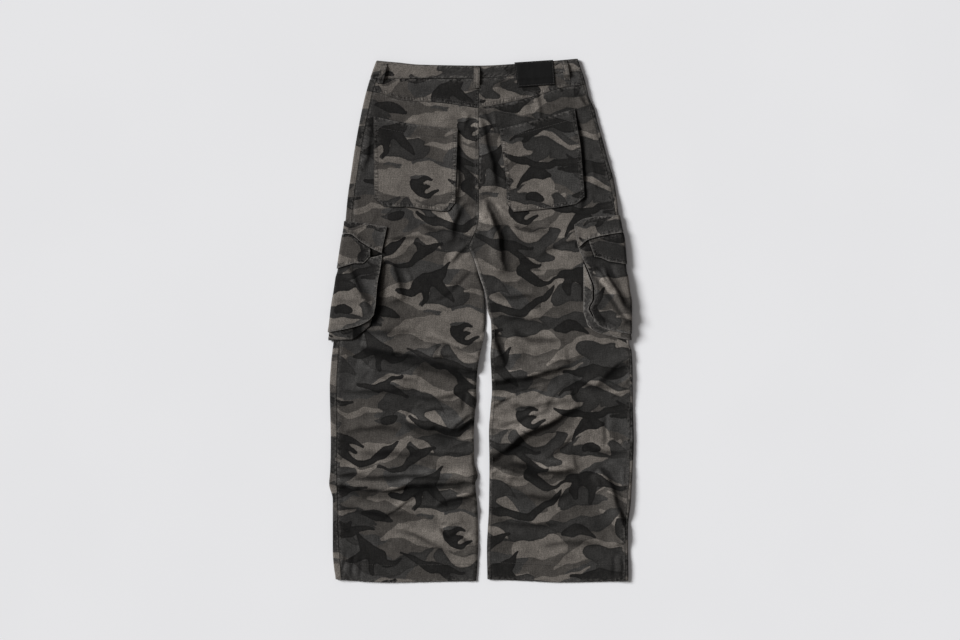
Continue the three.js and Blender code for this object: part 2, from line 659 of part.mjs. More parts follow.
for (const side of ['left', 'right']) {
  const { sign, out, bagInner, bagLow, gussetFoot, gussetHigh } = CARGO[side];
  const underBag = (x, y) => bagFace(side, x, y) - CLOTH - GUSSET.clear;
  const onLeg = (x, y) => clearOfLeg(side, x, y) + GUSSET.footStand;
  const topLine = [];
  const footLine = [];
  for (const t of evenly(MESH.gusset.inner)) {
    const y = mix(gussetHigh, GUSSET.cornerY, t);
    const top = bagInner(y) + sign * GUSSET.inset;
    const foot = bagInner(y) + sign * GUSSET.footInset;
    topLine.push([top, y, underBag(top, y)]);
    footLine.push([foot, y, onLeg(foot, y)]);
  }
  const corner = bagInner(GUSSET.cornerY);
  const lowStart = out(GUSSET.foldY) - sign * (ROUND_TURN + CLOTH / 2 + GUSSET.foldClear);
  for (const t of GUSSET_LOW_SHARES) {
    const top = mix(corner + sign * GUSSET.cornerInset, lowStart, t);
    const foot = mix(corner, lowStart, t);
    const topY = bagLow(top) + GUSSET.tuck;
    topLine.push([top, topY, underBag(top, topY)]);
    footLine.push([foot, gussetFoot(foot), onLeg(foot, gussetFoot(foot))]);
  }
  const topEnd = topLine[topLine.length - 1];
  const footEnd = footLine[footLine.length - 1];
  const turnOf = (end, reach, floor) => evenly(MESH.gusset.turn).slice(1).map((t) => [
    end[0] + sign * reach * Math.sin(Math.PI * t),
    end[1],
    mix(end[2], floor, (1 - Math.cos(Math.PI * t)) / 2),
  ]);
  const topFloor = CLOTH * 1.5 + 2 * SEAM_GAP;
  topLine.push(...turnOf(topEnd, GUSSET.topTurn, topFloor));
  footLine.push(...turnOf(footEnd, GUSSET.footTurn, CLOTH / 2));
  for (const tail of GUSSET.tails) {
    topLine.push([topEnd[0] - sign * tail, topEnd[1], topFloor]);
    footLine.push([footEnd[0] - sign * tail, footEnd[1], CLOTH / 2]);
  }
  const middleLine = topLine.map((point, i) => point.map((value, k) => mix(value, footLine[i][k], 0.5)));
  add(`cargo_gusset_${side}`, standingWall([topLine, middleLine, footLine], CLOTH), camoDark);
}

// Belt loops on the back: both ends are sewn down, and the middle stands clear for a belt.
const LOOP_WIDTH = 12;
const LOOP_STAND = 6.4;
const bandFace = BAND_TOP_MIDDLE + BAND_CLOTH / 2;
const loops = table(['name', 'topX', 'topY', 'lowX', 'lowY', 'side'], [
  ['belt_loop_back_left', -192, 513, -201, 473, 'left'],
  ['belt_loop_back_centre', -8, 507, -8, 464, 'right'],
  ['belt_loop_back_right', 166, 519, 173, 480, 'right'],
]);
for (const loop of loops) {
  const lowFoot = legTop(loop.side, loop.lowX, loop.lowY) + LAYER_GAP + CLOTH / 2;
  const topFoot = bandFace + LAYER_GAP + CLOTH / 2;
  const bar = bandFace + LOOP_STAND - CLOTH / 2;
  const profile = table(['share', 'height'], [
    [0, topFoot], [0.1, topFoot], [0.17, mix(topFoot, bar, 0.6)], [0.24, bar], [0.45, bar], [0.6, bar],
    [0.7, bar], [0.79, mix(lowFoot, bar, 0.55)], [0.88, lowFoot], [1, lowFoot],
  ]);
  const points = [-0.5, 0, 0.5].map((across) => profile.map(({ share, height }) => [
    mix(loop.topX, loop.lowX, share) + across * LOOP_WIDTH,
    mix(loop.topY, loop.lowY, share),
    height,
  ]));
  add(loop.name, standingWall(points, CLOTH), camo);
}

// Belt loops on the front lie flat between the waistband and the surface.
const FRONT_LOOP_CLOTH = 1.9;
const FRONT_LOOP_INSET = 2;
const frontLoops = table(['name', 'x'], [
  ['belt_loop_front_left', -112],
  ['belt_loop_front_right', 104],
]);
for (const { name, x } of frontLoops) {
  add(name, flatPiece({
    left: level(x - LOOP_WIDTH / 2),
    right: level(x + LOOP_WIDTH / 2),
    rows: rowsBetween([moved(waistTop, -FRONT_LOOP_INSET), moved(waistLow, FRONT_LOOP_INSET)], [2]),
    columns: evenly(1),
    top: () => FRONT_LOOP_CLOTH,
    thickness: FRONT_LOOP_CLOTH,
  }), camo);
}

// Blank leather patch, sewn over the waistband and the top of the right yoke.
const patchTop = straightThrough([[67, 515], [144, 520]]);
const patchLow = straightThrough([[73, 466], [148, 471]]);
const PATCH_RISE = { from: 12, to: 4 };
add('patch', flatPiece({
  left: straightThrough([[466, 73], [515, 67]]),
  right: straightThrough([[471, 148], [520, 144]]),
  rows: rowsBetween([patchTop, patchLow], MESH.patch.rows),
  columns: evenly(MESH.patch.columns),
  top: (x, y) => {
    const onYoke = clearOfLeg('right', x, y);
    const onBand = Math.max(bandFace + LAYER_GAP, onYoke);
    return mix(onYoke, onBand, ease(waistLow(x) - PATCH_RISE.from, waistLow(x) - PATCH_RISE.to, y)) + CLOTH;
  },
}), leather);

// Four-hole button under the lap of the waistband
const BUTTON = { radius: 8.5, height: 2, hole: 0.9, holePitch: 1.9, curveSegments: 6 };
const buttonShape = new THREE.Shape().absarc(0, 0, BUTTON.radius, 0, 2 * Math.PI);
for (const quarter of [0.25, 0.75, 1.25, 1.75]) {
  const x = BUTTON.holePitch * Math.SQRT2 * Math.cos(quarter * Math.PI);
  const y = BUTTON.holePitch * Math.SQRT2 * Math.sin(quarter * Math.PI);
  buttonShape.holes.push(new THREE.Path().absarc(x, y, BUTTON.hole, 0, 2 * Math.PI, true));
}
const button = new THREE.ExtrudeGeometry(buttonShape, {
  depth: BUTTON.height,
  bevelEnabled: false,
  curveSegments: BUTTON.curveSegments,
});
const buttonX = seatSeam(waistLow(0));
button.translate(buttonX, (waistTop(buttonX) + waistLow(buttonX)) / 2, 0);
add('waist_button', button, buttonPlastic);

export default trousers;
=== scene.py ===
"""Cargo trousers in washed camouflage twill, laid flat with the back up.

Sizes are millimetres until a mesh is made. X runs to the viewer's right, Y towards the waist, Z up from the
surface that the trousers lie on. Each cut piece is a closed wall of cloth on a grid of rows and columns.
"""

import math

import bpy
import numpy as np
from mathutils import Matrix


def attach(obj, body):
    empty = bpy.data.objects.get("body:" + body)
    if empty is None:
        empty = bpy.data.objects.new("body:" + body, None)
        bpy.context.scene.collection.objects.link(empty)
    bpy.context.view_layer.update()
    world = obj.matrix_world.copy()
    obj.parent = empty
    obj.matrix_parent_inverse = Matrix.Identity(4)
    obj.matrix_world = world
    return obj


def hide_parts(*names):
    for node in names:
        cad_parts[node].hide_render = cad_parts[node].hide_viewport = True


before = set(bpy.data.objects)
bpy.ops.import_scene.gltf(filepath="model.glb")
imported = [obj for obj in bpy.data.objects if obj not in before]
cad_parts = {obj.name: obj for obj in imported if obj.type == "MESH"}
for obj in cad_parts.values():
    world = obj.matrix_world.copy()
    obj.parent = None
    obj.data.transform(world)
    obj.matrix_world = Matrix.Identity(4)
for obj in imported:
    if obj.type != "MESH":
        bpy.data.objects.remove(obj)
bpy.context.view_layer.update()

MM = 0.001
SIDES = ("left", "right")
TOWARDS = {"left": -1, "right": 1}

# Cloth and construction
CLOTH = 1.6
BAND_CLOTH = 2.4
SEAM_GAP = 0.3
LIP_GAP = 0.4
HALF_GAP = 0.15
LAYER_GAP = 0.4
AIR_BETWEEN_PANELS = 1.0
SIDE_TURN = 3.0
ROUND_TURN = 5.0
SIDE_RISE = 3.6
SIDE_RISE_REACH = 18
INSEAM_LIFT = 2.2
INSEAM_REACH = 22
INSEAM_ROLL = 0.9
INSEAM_ROLL_REACH = 3.5
EDGE_PRESS = 0.6
EDGE_PRESS_REACH = 4.0
EDGE_THINNING = 0.38
WAIST_LIFT = 1.6
WAIST_RISE_REACH = 40
HEM_HEIGHT = 34
HEM_STEP = 0.7
CROTCH_Y = 147
BAND_FLOOR = 2.3
BAND_TOP_MIDDLE = 9.2
BAND_FACE = BAND_TOP_MIDDLE + BAND_CLOTH / 2
BAND_TURN = 3.2
FLY_LAP = 45
FLY_EDGE_LAP = 6
FLY_LIFT = 1.9
FLY_LOW_Y = 258
RIM = 0.9
THIN_RIM = 0.03
PATCH_RIM = 0.7
PATCH_RIM_SHARE = 0.7

# Stitching
STITCH_PITCH = 3.4
STITCH_LENGTH = 2.7
THREAD_WIDTH = 0.75
THREAD_HEIGHT = 0.6
NEAR_ROW = 1.8
FAR_ROW = 8.0
FELL_ROW = 6.5
FELL_WIDTH = 7.5
FELL_RISE = 0.5
YOKE_RISE = 0.45

# Mesh spacing
CELL = 2.9
WIDE_CELL = 4.5
EDGE_STEPS = (0, 0.35, 1.0, 1.8, 2.7, 4.2, 6.2, 8.0, 9.4)


def ease(low, high, x):
    t = np.clip((x - low) / (high - low), 0, 1)
    return t * t * (3 - 2 * t)


def bell(x, reach):
    return np.exp(-((x / reach) ** 2))


def mix(a, b, t):
    return a + (b - a) * t


def smooth_through(*rows):
    """A smooth function through (key, value) rows that never overshoots them."""
    keys, values = np.array(sorted(rows), float).T
    spans = np.diff(keys)
    slopes = np.diff(values) / spans
    tangents = np.concatenate([slopes[:1], np.zeros(len(slopes) - 1), slopes[-1:]])
    product = slopes[:-1] * slopes[1:]
    same_way = product > 0
    total = np.where(same_way, slopes[:-1] + slopes[1:], 1)
    tangents[1:-1] = np.where(same_way, 2 * product / total, 0)

    def curve(key):
        k = np.clip(key, keys[0], keys[-1])
        i = np.clip(np.searchsorted(keys, k) - 1, 0, len(spans) - 1)
        t = (k - keys[i]) / spans[i]
        bend = (t**3 - 2 * t * t + t) * tangents[i] + (t**3 - t * t) * tangents[i + 1]
        return mix(values[i], values[i + 1], (3 - 2 * t) * t * t) + bend * spans[i]

    return curve


def straight_through(*rows):
    keys, values = np.array(sorted(rows), float).T
    return lambda key: np.interp(key, keys, values)


def level(value):
    return lambda key: np.full(np.shape(key), float(value))


def moved(guide, by):
    return lambda x: guide(x) + by


# Outline of the trousers, and the seams that run down them. Each row is (y, x).
SIDE_OUTLINE = {
    "left": smooth_through(
        (523, -207), (505, -214), (481, -222), (445, -232), (409, -240), (337, -253), (289, -260),
        (247, -266), (199, -270.4), (151, -275.5), (71, -284), (1, -290), (-41, -294), (-83, -299),
        (-131, -302), (-239, -300), (-299, -301), (-327, -303), (-357, -296), (-459, -296), (-489, -294),
        (-516, -290),
    ),
    "right": smooth_through(
        (525, 193), (504, 200), (480, 208), (447, 216), (422, 227), (393, 234), (373, 240), (343, 248),
        (313, 256), (284, 265), (241, 272), (208, 275.6), (151, 283), (101, 287), (41, 291.5), (1, 293),
        (-41, 294.5), (-61, 301), (-91, 303), (-179, 304), (-239, 305.7), (-305, 303), (-359, 300),
        (-419, 294), (-520, 295),
    ),
}
SIDE_SEAM = {
    "left": smooth_through(
        (523, -194), (445, -219), (337, -240), (247, -253), (151, -262), (1, -277), (-41, -282),
        (-131, -288), (-239, -288), (-399, -286), (-516, -279),
    ),
    "right": smooth_through(
        (525, 187), (480, 202), (422, 220), (343, 241), (241, 265), (151, 276), (41, 287), (-59, 296),
        (-179, 299), (-305, 297), (-419, 289), (-520, 289),
    ),
}
SEAT_SEAM = smooth_through((523, -4), (211, -4), (185, -8), (167, -16), (CROTCH_Y, -25))
INSEAM = {
    "left": smooth_through(
        (CROTCH_Y, -25), (125, -15.3), (91, -4.4), (55, 6.6), (21, 10), (1, 10), (-29, 7), (-71, -2),
        (-103, -7), (-139, -9), (-159, -8), (-185, -12), (-239, -14), (-283, -13), (-311, -6), (-325, -11),
        (-369, -7), (-437, -5), (-479, -6), (-519, -9),
    ),
    "right": smooth_through(
        (CROTCH_Y, -25), (125, -15), (91, -4), (55, 8), (21, 13), (-3, 20), (-35, 21), (-69, 19),
        (-109, 21), (-139, 22), (-179, 19), (-223, 16), (-285, 17), (-371, 16), (-459, 12), (-516, 13),
    ),
}

# Edges that run across. Each row is (x, y).
WAIST_TOP = smooth_through(
    (-207, 519), (-164, 515), (-122, 511), (-4, 509), (78, 513), (128, 517), (194, 523)
)
WAIST_LOW = smooth_through(
    (-222, 483), (-102, 483), (-4, 484), (66, 488), (148, 493), (174, 496), (204, 498)
)
YOKE_SEAM = {
    "left": smooth_through((-228, 459), (-198, 453), (-156, 440), (-82, 435), (-42, 430), (-4, 424)),
    "right": smooth_through((-4, 424), (38, 432), (82, 442), (118, 451), (162, 465), (212, 471)),
}
HEM = {
    "left": smooth_through((-290, -517), (-190, -523), (-102, -522), (-9, -520)),
    "right": smooth_through((13, -517), (86, -520), (158, -523), (295, -520)),
}

# Cargo pockets: edges of each piece. The rest of each pocket wraps round to the front, under the leg.
CARGO = {
    "left": {
        "out": smooth_through(
            (203, -272.6), (181, -275.5), (163, -279), (137, -283), (103, -288), (61, -294), (25, -300),
            (-11, -304), (-23, -305.7), (-41, -304),
        ),
        "header_top": smooth_through((-273, 199), (-230, 194), (-187, 187)),
        "header_low": smooth_through((-278, 173), (-260, 172), (-242, 159), (-220, 145), (-197, 134)),
        "header_inner": -187,
        "header_inner_low": -197,
        "flap_low": straight_through((-289, 103), (-254, 114), (-234, 114), (-221, 127)),
        "flap_inner": level(-221),
        "bag_top": smooth_through((-283, 131), (-221, 126), (-197, 131)),
        "bag_inner": smooth_through(
            (132, -197), (105, -200), (72, -206), (29, -210), (10, -213), (-30, -213)
        ),
        "bag_low": smooth_through((-306, -24), (-252, -13), (-225, -1), (-212, 12)),
        "gusset_foot": smooth_through((-304, -40), (-256, -38), (-236, -23), (-218, -8), (-206, 2)),
        "gusset_high": 122,
    },
    "right": {
        "out": smooth_through(
            (214, 277.9), (189, 282), (161, 288), (113, 292), (61, 298), (35, 302), (1, 302), (-41, 302)
        ),
        "header_top": smooth_through((186, 191), (205, 203), (233, 208), (279, 210)),
        "header_low": smooth_through((195, 145), (214, 161), (242, 169), (284, 176)),
        "header_inner": 186,
        "header_inner_low": 195,
        "flap_low": straight_through((226, 127), (240, 125), (255, 118), (292, 112)),
        "flap_inner": straight_through((158, 215.5), (127, 226.5)),
        "bag_top": smooth_through((194, 142), (214, 158), (242, 166), (290, 170)),
        "bag_inner": smooth_through(
            (146, 194), (132, 200), (118, 206), (89, 218), (63, 226), (44, 226), (24, 218), (10, 224),
            (-30, 232)
        ),
        "bag_low": smooth_through((218, 8), (242, -14), (262, -20), (303, -28)),
        "gusset_foot": smooth_through((206, -2), (222, -18), (240, -27), (303, -41)),
        "gusset_high": 112,
    },
}
CARGO_LIFT = 3.9
CARGO_LOW_Y = -46
CARGO_HIGH_Y = 206
CARGO_FADE = 60
UNDER_REACH = 92
FLAP_UNDER_REACH = 62
BAG_STAND = 2.2
BAG_EDGE_STAND = 6.5
BAG_SHY = 2.3
BAG_UNDER_FLAP = 1.9
BAG_EDGE_REACH = 22
FLAP_STEP = 2.2
HEADER_RISE = 4.8
HEADER_RISE_REACH = 8
DARK_SIDE = {"left": 0.0, "right": 0.34}

# Creases. Each runs from (x1, y1) by (x2, y2) to (x3, y3). The cloth stands high on the left of that
# direction, drops to the crease within half the width, and rises again by low on its right.
CREASE_COLUMNS = ("x1", "y1", "x2", "y2", "x3", "y3", "high", "low", "width")


def table(columns, rows):
    return [dict(zip(columns, row)) for row in rows]


MAIN_CREASES = table(CREASE_COLUMNS, (
    # seat and left hip
    (40, 262, 28, 335, 2, 408, 3.5, 1.5, 12),
    (50, 100, 50, 175, 10, 247, 5, 2, 14),
    (-48, 158, -54, 192, -26, 236, 3, 1.5, 12),
    (209, 217, 210, 329, 190, 420, 3, 1.5, 12),
    (-146, 45, -158, 81, -172, 120, 3.5, 1.5, 16),
    # left leg, down to the roll above the hem
    (-245, -60, -122, -84, 14, -118, 6.5, 3, 18),
    (-155, -203, -78, -252, 8, -196, 5, 3, 18),
    (-300, -312, -168, -312, -14, -326, 3, 2, 14),
    (-318, -332, -180, -354, -10, -324, 6.5, 2, 13),
    (-92, -372, -50, -370, 8, -344, 4.5, 2, 14),
    # right leg
    (48, -95, 46, -47, 34, -15, 4, 2, 14),
    (2, -142, 108, -121, 182, -92, 6, 3, 18),
    (0, -298, 90, -242, 205, -176, 6, 3, 20),
    (6, -266, 100, -324, 190, -300, 6, 3, 16),
    (298, -446, 280, -345, 238, -288, 5, 2, 14),
    (240, -140, 258, -104, 304, -88, 3, 1.5, 18),
))
# Broad shade beside the deepest creases, without height of its own.
BROAD_SHADES = table(CREASE_COLUMNS, (
    (4, -292, 92, -252, 196, -200, 5, 0, 24),
    (0, -262, 70, -304, 150, -318, 4.5, 0, 20),
    (10, -142, 80, -132, 160, -112, 2.5, 0, 20),
    (52, 60, 58, 170, 16, 240, 2.5, 0, 20),
    (-235, -70, -122, -92, -10, -120, 2, 0, 20),
    (-150, -214, -84, -262, -16, -222, 2, 0, 20),
    (-296, -346, -180, -362, -24, -340, 2, 0, 16),
))
FINE_CREASES = table(CREASE_COLUMNS, (
    # seat and hips
    (32, 371, 20, 395, 4, 417, 1.3, 0.6, 7),
    (-26, 379, -24, 396, -17, 411, 1.0, 0.5, 6),
    (-44, 214, -40, 300, -38, 380, 2.4, 1.0, 9),
    (124, 400, 120, 428, 112, 462, 1.1, 0.5, 8),
    (216, 428, 206, 442, 190, 457, 1.2, 0.6, 7),
    (-230, 300, -214, 340, -216, 390, 1.0, 0.5, 9),
    (2, 196, 10, 186, 26, 182, 1.0, 0.5, 7),
    (60, 190, 96, 170, 140, 176, 1.0, 0.5, 10),
    (-120, 196, -90, 178, -40, 176, 1.1, 0.5, 10),
    (-190, 150, -150, 170, -100, 160, 0.9, 0.5, 9),
    (120, 120, 150, 150, 190, 160, 0.9, 0.5, 10),
    (-60, 110, -40, 128, -24, 146, 1.4, 0.8, 8),
    (-20, 100, -50, 60, -96, 40, 1.2, 0.6, 10),
    (20, 60, 60, 40, 110, 44, 1.3, 0.6, 10),
    # left leg
    (-88, -53, -90, -64, -88, -76, 1.4, 0.8, 7),
    (-36, -146, -32, -160, -34, -180, 1.6, 0.8, 8),
    (-58, -219, -44, -200, -12, -189, 1.6, 0.8, 8),
    (-84, -413, -76, -424, -64, -434, 1.6, 0.8, 8),
    (-40, -433, -30, -444, -12, -451, 1.6, 0.8, 8),
    (-274, -460, -272, -490, -275, -514, 1.2, 0.6, 6),
    (-256, -466, -255, -490, -257, -516, 1.2, 0.6, 6),
    (-239, -474, -238, -494, -240, -518, 1.0, 0.5, 6),
    (-280, -140, -220, -150, -150, -138, 1.2, 0.6, 12),
    (-270, -226, -210, -214, -160, -222, 1.2, 0.6, 12),
    (-250, -268, -190, -276, -120, -262, 1.2, 0.6, 12),
    (-130, -150, -90, -160, -40, -146, 1.2, 0.6, 10),
    (-280, -376, -220, -392, -150, -384, 1.1, 0.6, 12),
    (-170, -420, -120, -436, -60, -470, 1.1, 0.6, 12),
    (-250, -20, -190, -34, -130, -22, 1.0, 0.5, 12),
    # right leg
    (246, -190, 248, -220, 246, -252, 1.4, 0.7, 8),
    (60, -170, 120, -180, 190, -158, 1.3, 0.7, 12),
    (40, -212, 90, -204, 140, -176, 1.2, 0.6, 10),
    (60, -344, 120, -360, 180, -352, 1.3, 0.7, 12),
    (30, -400, 90, -420, 160, -408, 1.1, 0.6, 12),
    (120, -452, 180, -440, 240, -452, 1.0, 0.5, 12),
    (200, -120, 230, -140, 270, -136, 1.2, 0.6, 10),
    (210, -250, 250, -270, 290, -262, 1.2, 0.6, 10),
    (262, -470, 264, -492, 262, -516, 1.1, 0.6, 6),
    (280, -474, 281, -494, 279, -517, 1.1, 0.6, 6),
    (60, -20, 110, -44, 170, -40, 1.2, 0.6, 12),
    (34, 10, 70, -6, 120, -4, 1.1, 0.6, 10),
))
BAG_CREASES = table(CREASE_COLUMNS, (
    (304, 10, 276, 56, 250, 108, 7, 3, 12),
    (228, 88, 250, 46, 304, -14, 4, 2, 10),
    (264, 64, 246, 88, 226, 113, 3, 1.5, 5),
    (222, 96, 226, 60, 222, 30, 2, 1, 8),
    (-216, 20, -232, 66, -262, 108, 3.5, 2, 14),
    (-290, 40, -262, 30, -236, 34, 1.0, 0.5, 9),
    (-280, 78, -256, 72, -238, 80, 0.8, 0.4, 8),
    (258, 112, 262, 92, 276, 74, 1.6, 0.8, 7),
    (230, 10, 252, 6, 268, -6, 1.2, 0.6, 7),
))
CREASE_STEPS = 16
DROP_SHARE = 0.75
SLOPE_SHARE = 1.8
LOW_SHARE = 1.3
VALLEY_PLACE = 0.15
VALLEY_REACH = 0.62
CREST_PLACE = 1.5
CREST_REACH = 0.7
CREST_SHARE = 0.35
FULL_SHADE_HIGH = 5
CREASE_MARGIN = 5
CREASE_UNEVENNESS = 0.25

# Heights are added up once on an even grid over the garment, and read between its points.
FIELD_STEP = 1.5
FIELD_X = np.arange(-330, 330.1, FIELD_STEP)
FIELD_Y = np.arange(-540, 540.1, FIELD_STEP)


def beside_crease(crease, x, y):
    """How far each place is from a crease, with its side as a sign, and how the crease fades at its ends."""
    t = np.linspace(0, 1, CREASE_STEPS + 1)
    weights = ((1 - t) ** 2, 2 * t * (1 - t), t * t)
    path_x = sum(w * crease[key] for w, key in zip(weights, ("x1", "x2", "x3")))
    path_y = sum(w * crease[key] for w, key in zip(weights, ("y1", "y2", "y3")))
    nearest = np.full(x.shape, np.inf)
    signed = np.zeros(x.shape)
    along = np.zeros(x.shape)
    for i in range(CREASE_STEPS):
        run_x, run_y = path_x[i + 1] - path_x[i], path_y[i + 1] - path_y[i]
        dx, dy = x - path_x[i], y - path_y[i]
        share = np.clip((dx * run_x + dy * run_y) / (run_x**2 + run_y**2), 0, 1)
        off_x, off_y = dx - share * run_x, dy - share * run_y
        distance = np.hypot(off_x, off_y)
        closer = distance < nearest
        side = np.where(run_x * off_y - run_y * off_x < 0, -1, 1)
        nearest = np.where(closer, distance, nearest)
        signed = np.where(closer, side * distance, signed)
        along = np.where(closer, (i + share) / CREASE_STEPS, along)
    return signed, np.sqrt(np.clip(4 * along * (1 - along), 0, 1))


def crease_height(crease, x, y):
    """Height that one crease adds at each place."""
    signed, taper = beside_crease(crease, x, y)
    drop = crease["width"] * DROP_SHARE
    high = ease(0, drop, signed) * bell(np.maximum(0, signed - drop), crease["width"] * SLOPE_SHARE)
    q = np.abs(signed) / (crease["width"] * LOW_SHARE)
    low = q * np.exp(1 - q) * bell(q, 3)
    return taper * np.where(signed >= 0, crease["high"] * high, crease["low"] * low)


def crease_shade(crease, x, y):
    """Painted shade in the valley of one crease, with a painted highlight on the crest of its high side."""
    signed, taper = beside_crease(crease, x, y)
    valley = bell(signed - VALLEY_PLACE * crease["width"], VALLEY_REACH * crease["width"])
    crest = bell(signed - CREST_PLACE * crease["width"], CREST_REACH * crease["width"])
    return taper * min(1, crease["high"] / FULL_SHADE_HIGH) * (valley - CREST_SHARE * crest)


def soft_noise(x, y, cell_x, cell_y, seed):
    """Smooth noise from -1 to 1 whose lumps are about as large as the cell."""
    lattice = np.random.default_rng(seed).uniform(-1, 1, (97, 89))
    gx, gy = x / cell_x, y / cell_y
    ix, iy = np.floor(gx).astype(int), np.floor(gy).astype(int)
    tx, ty = ease(0, 1, gx - ix), ease(0, 1, gy - iy)
    low = mix(lattice[ix % 97, iy % 89], lattice[(ix + 1) % 97, iy % 89], tx)
    high = mix(lattice[ix % 97, (iy + 1) % 89], lattice[(ix + 1) % 97, (iy + 1) % 89], tx)
    return mix(low, high, ty)


WANDER = 5
SMALL_WANDER = 1.8


def wandered(x, y):
    """Shifts places a little, so that creases run as unevenly as cloth does."""
    shift_x = WANDER * soft_noise(x, y, 46, 46, 51) + SMALL_WANDER * soft_noise(x, y, 15, 15, 52)
    shift_y = WANDER * soft_noise(x, y, 46, 40, 53) + SMALL_WANDER * soft_noise(x, y, 15, 15, 54)
    return x + shift_x, y + shift_y


def beside(creases, count, seed):
    """Shorter and shallower creases that gather along the given ones."""
    draw = np.random.default_rng(seed)
    rows = []
    for crease in creases:
        run_x, run_y = crease["x3"] - crease["x1"], crease["y3"] - crease["y1"]
        reach, bearing = math.hypot(run_x, run_y), math.atan2(run_y, run_x)
        for _ in range(count):
            share = draw.uniform(0.1, 0.9)
            aside = draw.choice((-1, 1)) * draw.uniform(0.9, 2.6) * crease["width"]
            bow = 2 * share * (1 - share)
            x = crease["x1"] + share * run_x + bow * (2 * crease["x2"] - crease["x1"] - crease["x3"]) / 2
            y = crease["y1"] + share * run_y + bow * (2 * crease["y2"] - crease["y1"] - crease["y3"]) / 2
            x, y = x - aside * math.sin(bearing), y + aside * math.cos(bearing)
            angle = bearing + draw.normal(0, 0.2)
            half = draw.uniform(0.1, 0.26) * reach
            dx, dy = half * math.cos(angle), half * math.sin(angle)
            bend = draw.uniform(-0.2, 0.2)
            high = crease["high"] * draw.uniform(0.14, 0.34)
            rows.append((x - dx, y - dy, x - bend * dy, y + bend * dx, x + dx, y + dy, high, high / 2,
                         crease["width"] * draw.uniform(0.35, 0.6)))
    return table(CREASE_COLUMNS, rows)


def field_of(creases, form=crease_height):
    """Adds the creases up on the grid, each only near where it runs."""
    field = np.zeros((len(FIELD_Y), len(FIELD_X)))
    for crease in creases:
        margin = CREASE_MARGIN * crease["width"]
        xs = [crease[key] for key in ("x1", "x2", "x3")]
        ys = [crease[key] for key in ("y1", "y2", "y3")]
        columns = np.flatnonzero((FIELD_X > min(xs) - margin) & (FIELD_X < max(xs) + margin))
        rows = np.flatnonzero((FIELD_Y > min(ys) - margin) & (FIELD_Y < max(ys) + margin))
        x, y = wandered(*np.meshgrid(FIELD_X[columns], FIELD_Y[rows]))
        uneven = 1 + CREASE_UNEVENNESS * soft_noise(x, y, 34, 30, 55)
        field[rows[0]:rows[-1] + 1, columns[0]:columns[-1] + 1] += form(crease, x, y) * uneven
    return field


def read_field(field, x, y):
    gx = np.clip((x - FIELD_X[0]) / FIELD_STEP, 0, len(FIELD_X) - 1.001)
    gy = np.clip((y - FIELD_Y[0]) / FIELD_STEP, 0, len(FIELD_Y) - 1.001)
    ix, iy = gx.astype(int), gy.astype(int)
    low = mix(field[iy, ix], field[iy, ix + 1], gx - ix)
    high = mix(field[iy + 1, ix], field[iy + 1, ix + 1], gx - ix)
    return mix(low, high, gy - iy)


def soften(field, cells, times=2):
    """Averages each point with those within so many cells."""
    for _ in range(times):
        for axis in (0, 1):
            padded = np.pad(field, [(cells + 1, cells) if a == axis else (0, 0) for a in (0, 1)], "edge")
            total = np.cumsum(padded, axis)
            width = 2 * cells + 1
            ahead = np.take(total, range(width, total.shape[axis]), axis)
            behind = np.take(total, range(total.shape[axis] - width), axis)
            field = (ahead - behind) / width
    return field


def small_wrinkles(count, seed):
    """Short shallow creases all over, mostly across the legs."""
    draw = np.random.default_rng(seed)
    rows = []
    for _ in range(count):
        x, y = draw.uniform(-290, 290), draw.uniform(-500, 440)
        angle = draw.normal(0, 0.45)
        reach = draw.uniform(14, 40)
        sag = draw.uniform(-0.25, 0.25) * reach
        dx, dy = reach * math.cos(angle), reach * math.sin(angle)
        high = draw.uniform(0.25, 0.75)
        rows.append((x - dx, y - dy, x - sag * math.sin(angle), y + sag, x + dx, y + dy, high, high / 2,
                     draw.uniform(4, 9)))
    return table(CREASE_COLUMNS, rows)


HOLLOW_SCALES = ((3, 1, 0.12), (8, 3, 0.05))
CURVE_SHARE = 0.6
GRID_X, GRID_Y = np.meshgrid(FIELD_X, FIELD_Y)
UNDULATION = (
    1.1 * soft_noise(GRID_X, GRID_Y, 70, 46, 3)
    + 0.5 * soft_noise(GRID_X, GRID_Y, 26, 19, 4)
    + 0.18 * soft_noise(GRID_X, GRID_Y, 10, 8, 5)
)
MAIN_DEPTH = 1.9
FINE_DEPTH = 2.0
GATHERED_DEPTH = 1.4
WRINKLE_DEPTH = 1.3
BAG_DEPTH = 1.4
FOLDS = (
    MAIN_DEPTH * field_of(MAIN_CREASES)
    + FINE_DEPTH * field_of(FINE_CREASES)
    + (
        GATHERED_DEPTH * field_of(beside(MAIN_CREASES, 5, 9))
        + WRINKLE_DEPTH * field_of(small_wrinkles(120, 6))
        + UNDULATION
    )
)
BAG_FOLDS = BAG_DEPTH * field_of(BAG_CREASES)


def painted_shade_from_bend(field):
    """Painted shade from 1 deep inside a crease to a painted highlight at -1 on top of a ridge, by how the
    surface bends near and far.

    Each scale has how many cells apart the bend is taken, how far it is smoothed, and the bend of full depth.
    """
    painted_crease_shade = 0
    for cells, blur, full in HOLLOW_SCALES:
        smooth = soften(field, blur)
        bend = -4 * smooth
        for axis in (0, 1):
            for step in (-cells, cells):
                bend = bend + np.roll(smooth, step, axis)
        painted_crease_shade = painted_crease_shade + 0.6 * np.clip(bend / (cells * FIELD_STEP) ** 2 / full, -1, 1)
    return np.clip(painted_crease_shade, -1, 1)


# Painted shade in creases and painted highlight on crests, for the legs, the back pockets and the cargo bags.
LEG_PAINTED_SHADE = (
    CURVE_SHARE * painted_shade_from_bend(FOLDS)
    + field_of(MAIN_CREASES + BROAD_SHADES, crease_shade)
    + FINE_DEPTH * field_of(FINE_CREASES, crease_shade)
)
POCKET_PAINTED_SHADE = 0.5 * LEG_PAINTED_SHADE
BAG_PAINTED_SHADE = CURVE_SHARE * painted_shade_from_bend(BAG_FOLDS) + field_of(BAG_CREASES, crease_shade)


